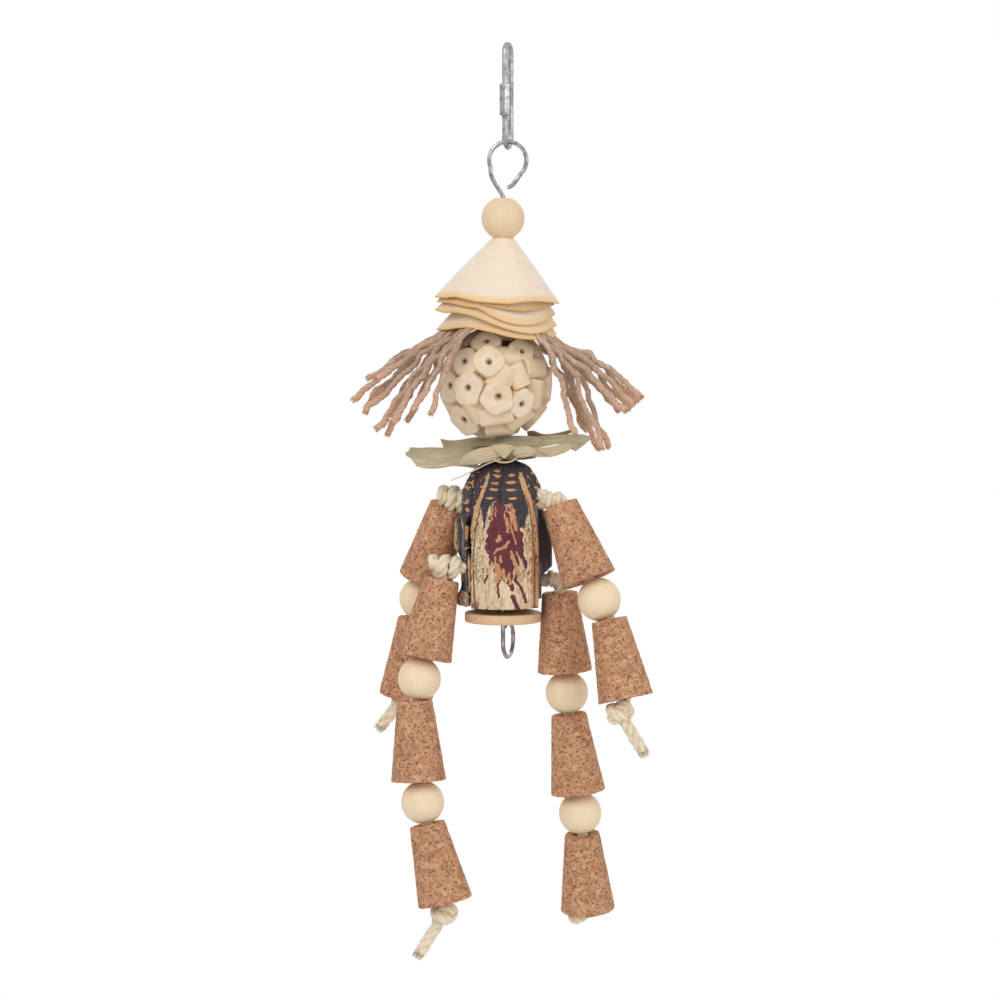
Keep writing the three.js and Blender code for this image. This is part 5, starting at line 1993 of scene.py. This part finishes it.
def make_middle():
    """The pleated middle that the leaves lie round, in a dark leaf finish that is painted shade."""
    middle = shape(
        bpy.ops.mesh.primitive_cylinder_add, "collar_middle", vertices=72, radius=1, depth=1,
        end_fill_type="NGON",
    )
    bored(middle, flat_end, MIDDLE_INSETS)
    level = box_middle("collar_folds").z
    for vertex in middle.data.vertices:
        radius = vertex.co.xy.length
        around = math.atan2(vertex.co.y, vertex.co.x)
        pleat = 1 + 0.07 * math.cos(9 * around + 2 * vertex.co.z) * radius + 0.05 * math.sin(5 * around + 1)
        reach = MIDDLE * radius * (pleat if radius > 0.3 else 1)
        tall = (3.3 - 0.8 * radius ** 3) * (1 + 0.12 * math.sin(7 * around + 3) * radius)
        side = 1 if vertex.co.z > 0 else -1
        out = Vector((math.cos(around), math.sin(around), 0)) * reach
        vertex.co = Vector((STEM_X, 0, level + side * tall)) + out
    turned_outwards(middle)
    bevelled(middle, 0.5, 3, 50)
    placed(middle)
    smoothed(middle, 50)
    finished(middle, painted_shade_leaf, "collar", ["collar_folds"])


def make_leaves():
    """The two leaves, folded along their length, and the strips tied over them."""
    front = [
        (478, 468, -10.5), (455, 465.6, -10.5), (442, 467.2, -10.5), (427.8, 467.8, -10),
        (416.0, 465.3, -9),
    ]
    flank = [(478, 461.5, -8), (455, 461, -8), (442, 462, -8), (427.8, 462, -8), (411.8, 459.4, -7)]
    breast = [(478, 457, -5.5), (455, 456.5, -5.5), (442, 457, -5.5), (427, 457, -5.5), (405.6, 454.0, -5)]
    shoulder = [
        (478, 452, -2.5), (455, 452, -2.5), (442, 452, -2.5), (427, 452, -2.5), (409.0, 450.6, -2.5),
    ]
    ridge_line = [(480, 447.5, 0), (455, 448.6, 0), (442, 448.5, 0), (427, 448.3, 0), (410.0, 447.8, 0)]
    leaf_sheet("collar_leaf_left_ribbed", [
        front, flank, breast, shoulder, ridge_line, mirrored(shoulder, 2.5), mirrored(breast, 5.5),
        mirrored(flank, 8), mirrored(front, 10.5),
    ], 9, olive_leaf, relief=0.11, replaces=["collar_leaf_left"])
    leaf_sheet("collar_leaf_upper_ribbed", [
        [
            (536, 450, -5), (518, 450.5, -6), (500, 450.5, -6), (480, 449.5, -1), (470, 449, 2),
            (452, 449, 4), (444, 449.6, 5),
        ],
        [
            (540, 445, -3), (520, 445, -4.5), (500, 445, -4.5), (482, 445, 2), (470, 445, 5),
            (452, 445, 8), (442.5, 444.4, 8),
        ],
        [
            (543, 437.6, 0), (524, 436.3, -2.6), (505, 435.8, -1), (487, 436.6, 5), (471, 438.2, 9),
            (452, 440.8, 11), (440.5, 439.2, 11),
        ],
    ], 7, olive_leaf, relief=0.11)
    lower_edge = [
        (512, 451, -8), (529, 449, -7), (544, 446.5, -6), (556, 443.6, -5), (566, 446, -5.5),
        (575.7, 451.2, -6),
    ]
    middle_line = [
        (512, 446, -2), (529, 445, -2), (544, 443, -2), (558, 441.6, -2), (571, 442, -2),
        (584, 444.6, -2),
    ]
    upper_edge = [
        (512, 441.5, 3), (529, 438.4, 3), (544, 435.6, 3), (564.5, 434.6, 3), (580.8, 434.8, 2),
        (592.3, 437.6, 1),
    ]
    leaf_sheet("collar_leaf_right_ribbed", [
        lower_edge, middle_line, upper_edge, mirrored(middle_line, 7), mirrored(lower_edge, 11),
    ], 9, olive_leaf, relief=0.11, replaces=["collar_leaf_right"])
    leaf_sheet("collar_strip_front_left", [
        [
            (459.4, 463, -11.5), (466.5, 454, -12.5), (482.9, 448, -13), (495, 448.6, -13),
            (502.5, 453.5, -12.5),
        ],
        [(459.6, 464, -12), (470, 460, -14.4), (483, 456, -15), (495, 454.5, -14.5), (502.5, 454, -13)],
        [(460, 464.5, -12), (472, 464.4, -13.5), (483, 462.6, -14), (495, 459, -14), (502.5, 454.8, -12.5)],
    ], 5, tan_leaf, 0.6)
    leaf_sheet("collar_strip_front_right", [
        [
            (508.5, 453, -12), (513.5, 449.2, -12.5), (523.7, 446, -12.5), (531.8, 448, -12),
            (536.5, 452.3, -11),
        ],
        [
            (508.5, 453.6, -12.5), (515, 453.4, -14), (523.7, 451, -14.6), (531, 451.4, -14),
            (536.6, 452.8, -11.6),
        ],
        [
            (508.6, 454.2, -12), (519.6, 457, -13.5), (526, 456.6, -13.8), (531, 455.4, -13),
            (536.7, 453.4, -11),
        ],
    ], 4, tan_leaf, 0.6)
    leaf_sheet("collar_strip_right", [
        [(530, 449, -11), (540, 448.4, -11), (550, 446.8, -10.4), (561, 444.8, -8.5), (571, 445, -6.5)],
        [(531, 456, -11.5), (541, 456.8, -11.8), (551, 456.6, -11.2), (562, 453.4, -9), (571, 448.6, -7)],
    ], 4, tan_leaf, 0.5)
    leaf_sheet("collar_strip_middle", [
        [
            (486, 447.4, -12.4), (495, 445, -13.4), (503, 444.2, -13.8), (511, 445.4, -13.4),
            (519, 447.6, -12.4),
        ],
        [
            (496, 452, -14.5), (500, 455.4, -15.6), (504.5, 458, -16.2), (508, 455.4, -15.6),
            (512, 450.6, -14.5),
        ],
    ], 4, tan_leaf, 0.5)
    leaf_sheet("collar_stalk", [
        [(527, 431.4, 5), (534, 431.0, 5), (543, 434.2, 5), (558, 433.0, 4), (573.5, 428.8, 3)],
        [(528, 438.0, 5), (537, 438.6, 5), (547, 438.4, 5), (560, 436.4, 4), (574, 431.6, 3)],
    ], 2, brown_leaf, 0.6)
    weave = Weave()
    straws = [
        ([(501, 459, -16), (488, 463.5, -20), (470, 472.5, -21), (451.2, 480.6, -21)], 0.42),
        ([(493, 457.6, -15), (498, 461.4, -17.5), (505, 462.4, -18.5), (512, 461, -17.5), (518, 457, -15)],
         0.55),
        ([(538.5, 449.4, -12), (545, 453, -12.6), (551.7, 456.6, -12)], 0.5),
    ]
    for marks, thick in straws:
        path = smooth_path([seen(*mark) for mark in marks], 0.8)
        weave.tube(path, lambda s, t=thick: t * (1 - 0.4 * s), 8, flat=0.6)
    finished(weave.made("collar_straws"), straw_leaf, "collar")
    fold_ring()


make_middle()
make_leaves()

# Floor, light and background

FLOOR_RADIUS = 0.7
FLOOR_LEVEL = -0.75
# The surround's colour and strength: as it lights the toy, and as the camera and reflections see it
SURROUND = [((1, 0.99, 0.98, 1), 0.62), ((1, 1, 1, 1), 1.0)]
LAMP_SIZE = 1.2
LAMP_AIM = Vector((0, 0, -0.21))
LAMPS = [
    ("key", (-0.7, -1.2, 0.7), 10), ("fill", (1.1, -0.9, 0.1), 5), ("back", (0.1, 1.2, 0.6), 6),
]


def make_stage():
    """A pale floor out of sight, a white surround and three soft lamps."""
    floor = shape(
        bpy.ops.mesh.primitive_circle_add, "floor", vertices=96, radius=FLOOR_RADIUS, fill_type="NGON",
        location=(0, 0, FLOOR_LEVEL),
    )
    bpy.ops.object.transform_apply(location=True)
    material = bpy.data.materials.new("pale floor")
    material.use_nodes = True
    shader = material.node_tree.nodes["Principled BSDF"]
    shader.inputs["Base Color"].default_value = colour(240, 240, 240)
    shader.inputs["Roughness"].default_value = 0.9
    floor.data.materials.append(material)

    world = bpy.data.worlds.new("studio")
    bpy.context.scene.world = world
    world.use_nodes = True
    nodes, links = world.node_tree.nodes, world.node_tree.links
    nodes.clear()
    out = nodes.new("ShaderNodeOutputWorld")
    mix = nodes.new("ShaderNodeMixShader")
    for socket, (shade, strength) in enumerate(SURROUND, 1):
        background = nodes.new("ShaderNodeBackground")
        background.inputs["Color"].default_value = shade
        background.inputs["Strength"].default_value = strength
        links.new(background.outputs[0], mix.inputs[socket])
    path = nodes.new("ShaderNodeLightPath")
    sees_white = path.outputs["Is Camera Ray"]
    for ray in ("Is Glossy Ray", "Is Transmission Ray"):
        either = nodes.new("ShaderNodeMath")
        either.operation = "MAXIMUM"
        links.new(sees_white, either.inputs[0])
        links.new(path.outputs[ray], either.inputs[1])
        sees_white = either.outputs[0]
    links.new(sees_white, mix.inputs[0])
    links.new(mix.outputs[0], out.inputs[0])

    for name, place, power in LAMPS:
        light = shape(bpy.ops.object.light_add, name, type="AREA", location=place)
        light.data.shape = "DISK"
        light.data.size = LAMP_SIZE
        light.data.energy = power
        aim = LAMP_AIM - Vector(place)
        light.rotation_mode = "QUATERNION"
        light.rotation_quaternion = aim.to_track_quat("-Z", "Y")


make_stage()
bpy.context.scene.view_settings.view_transform = "Standard"
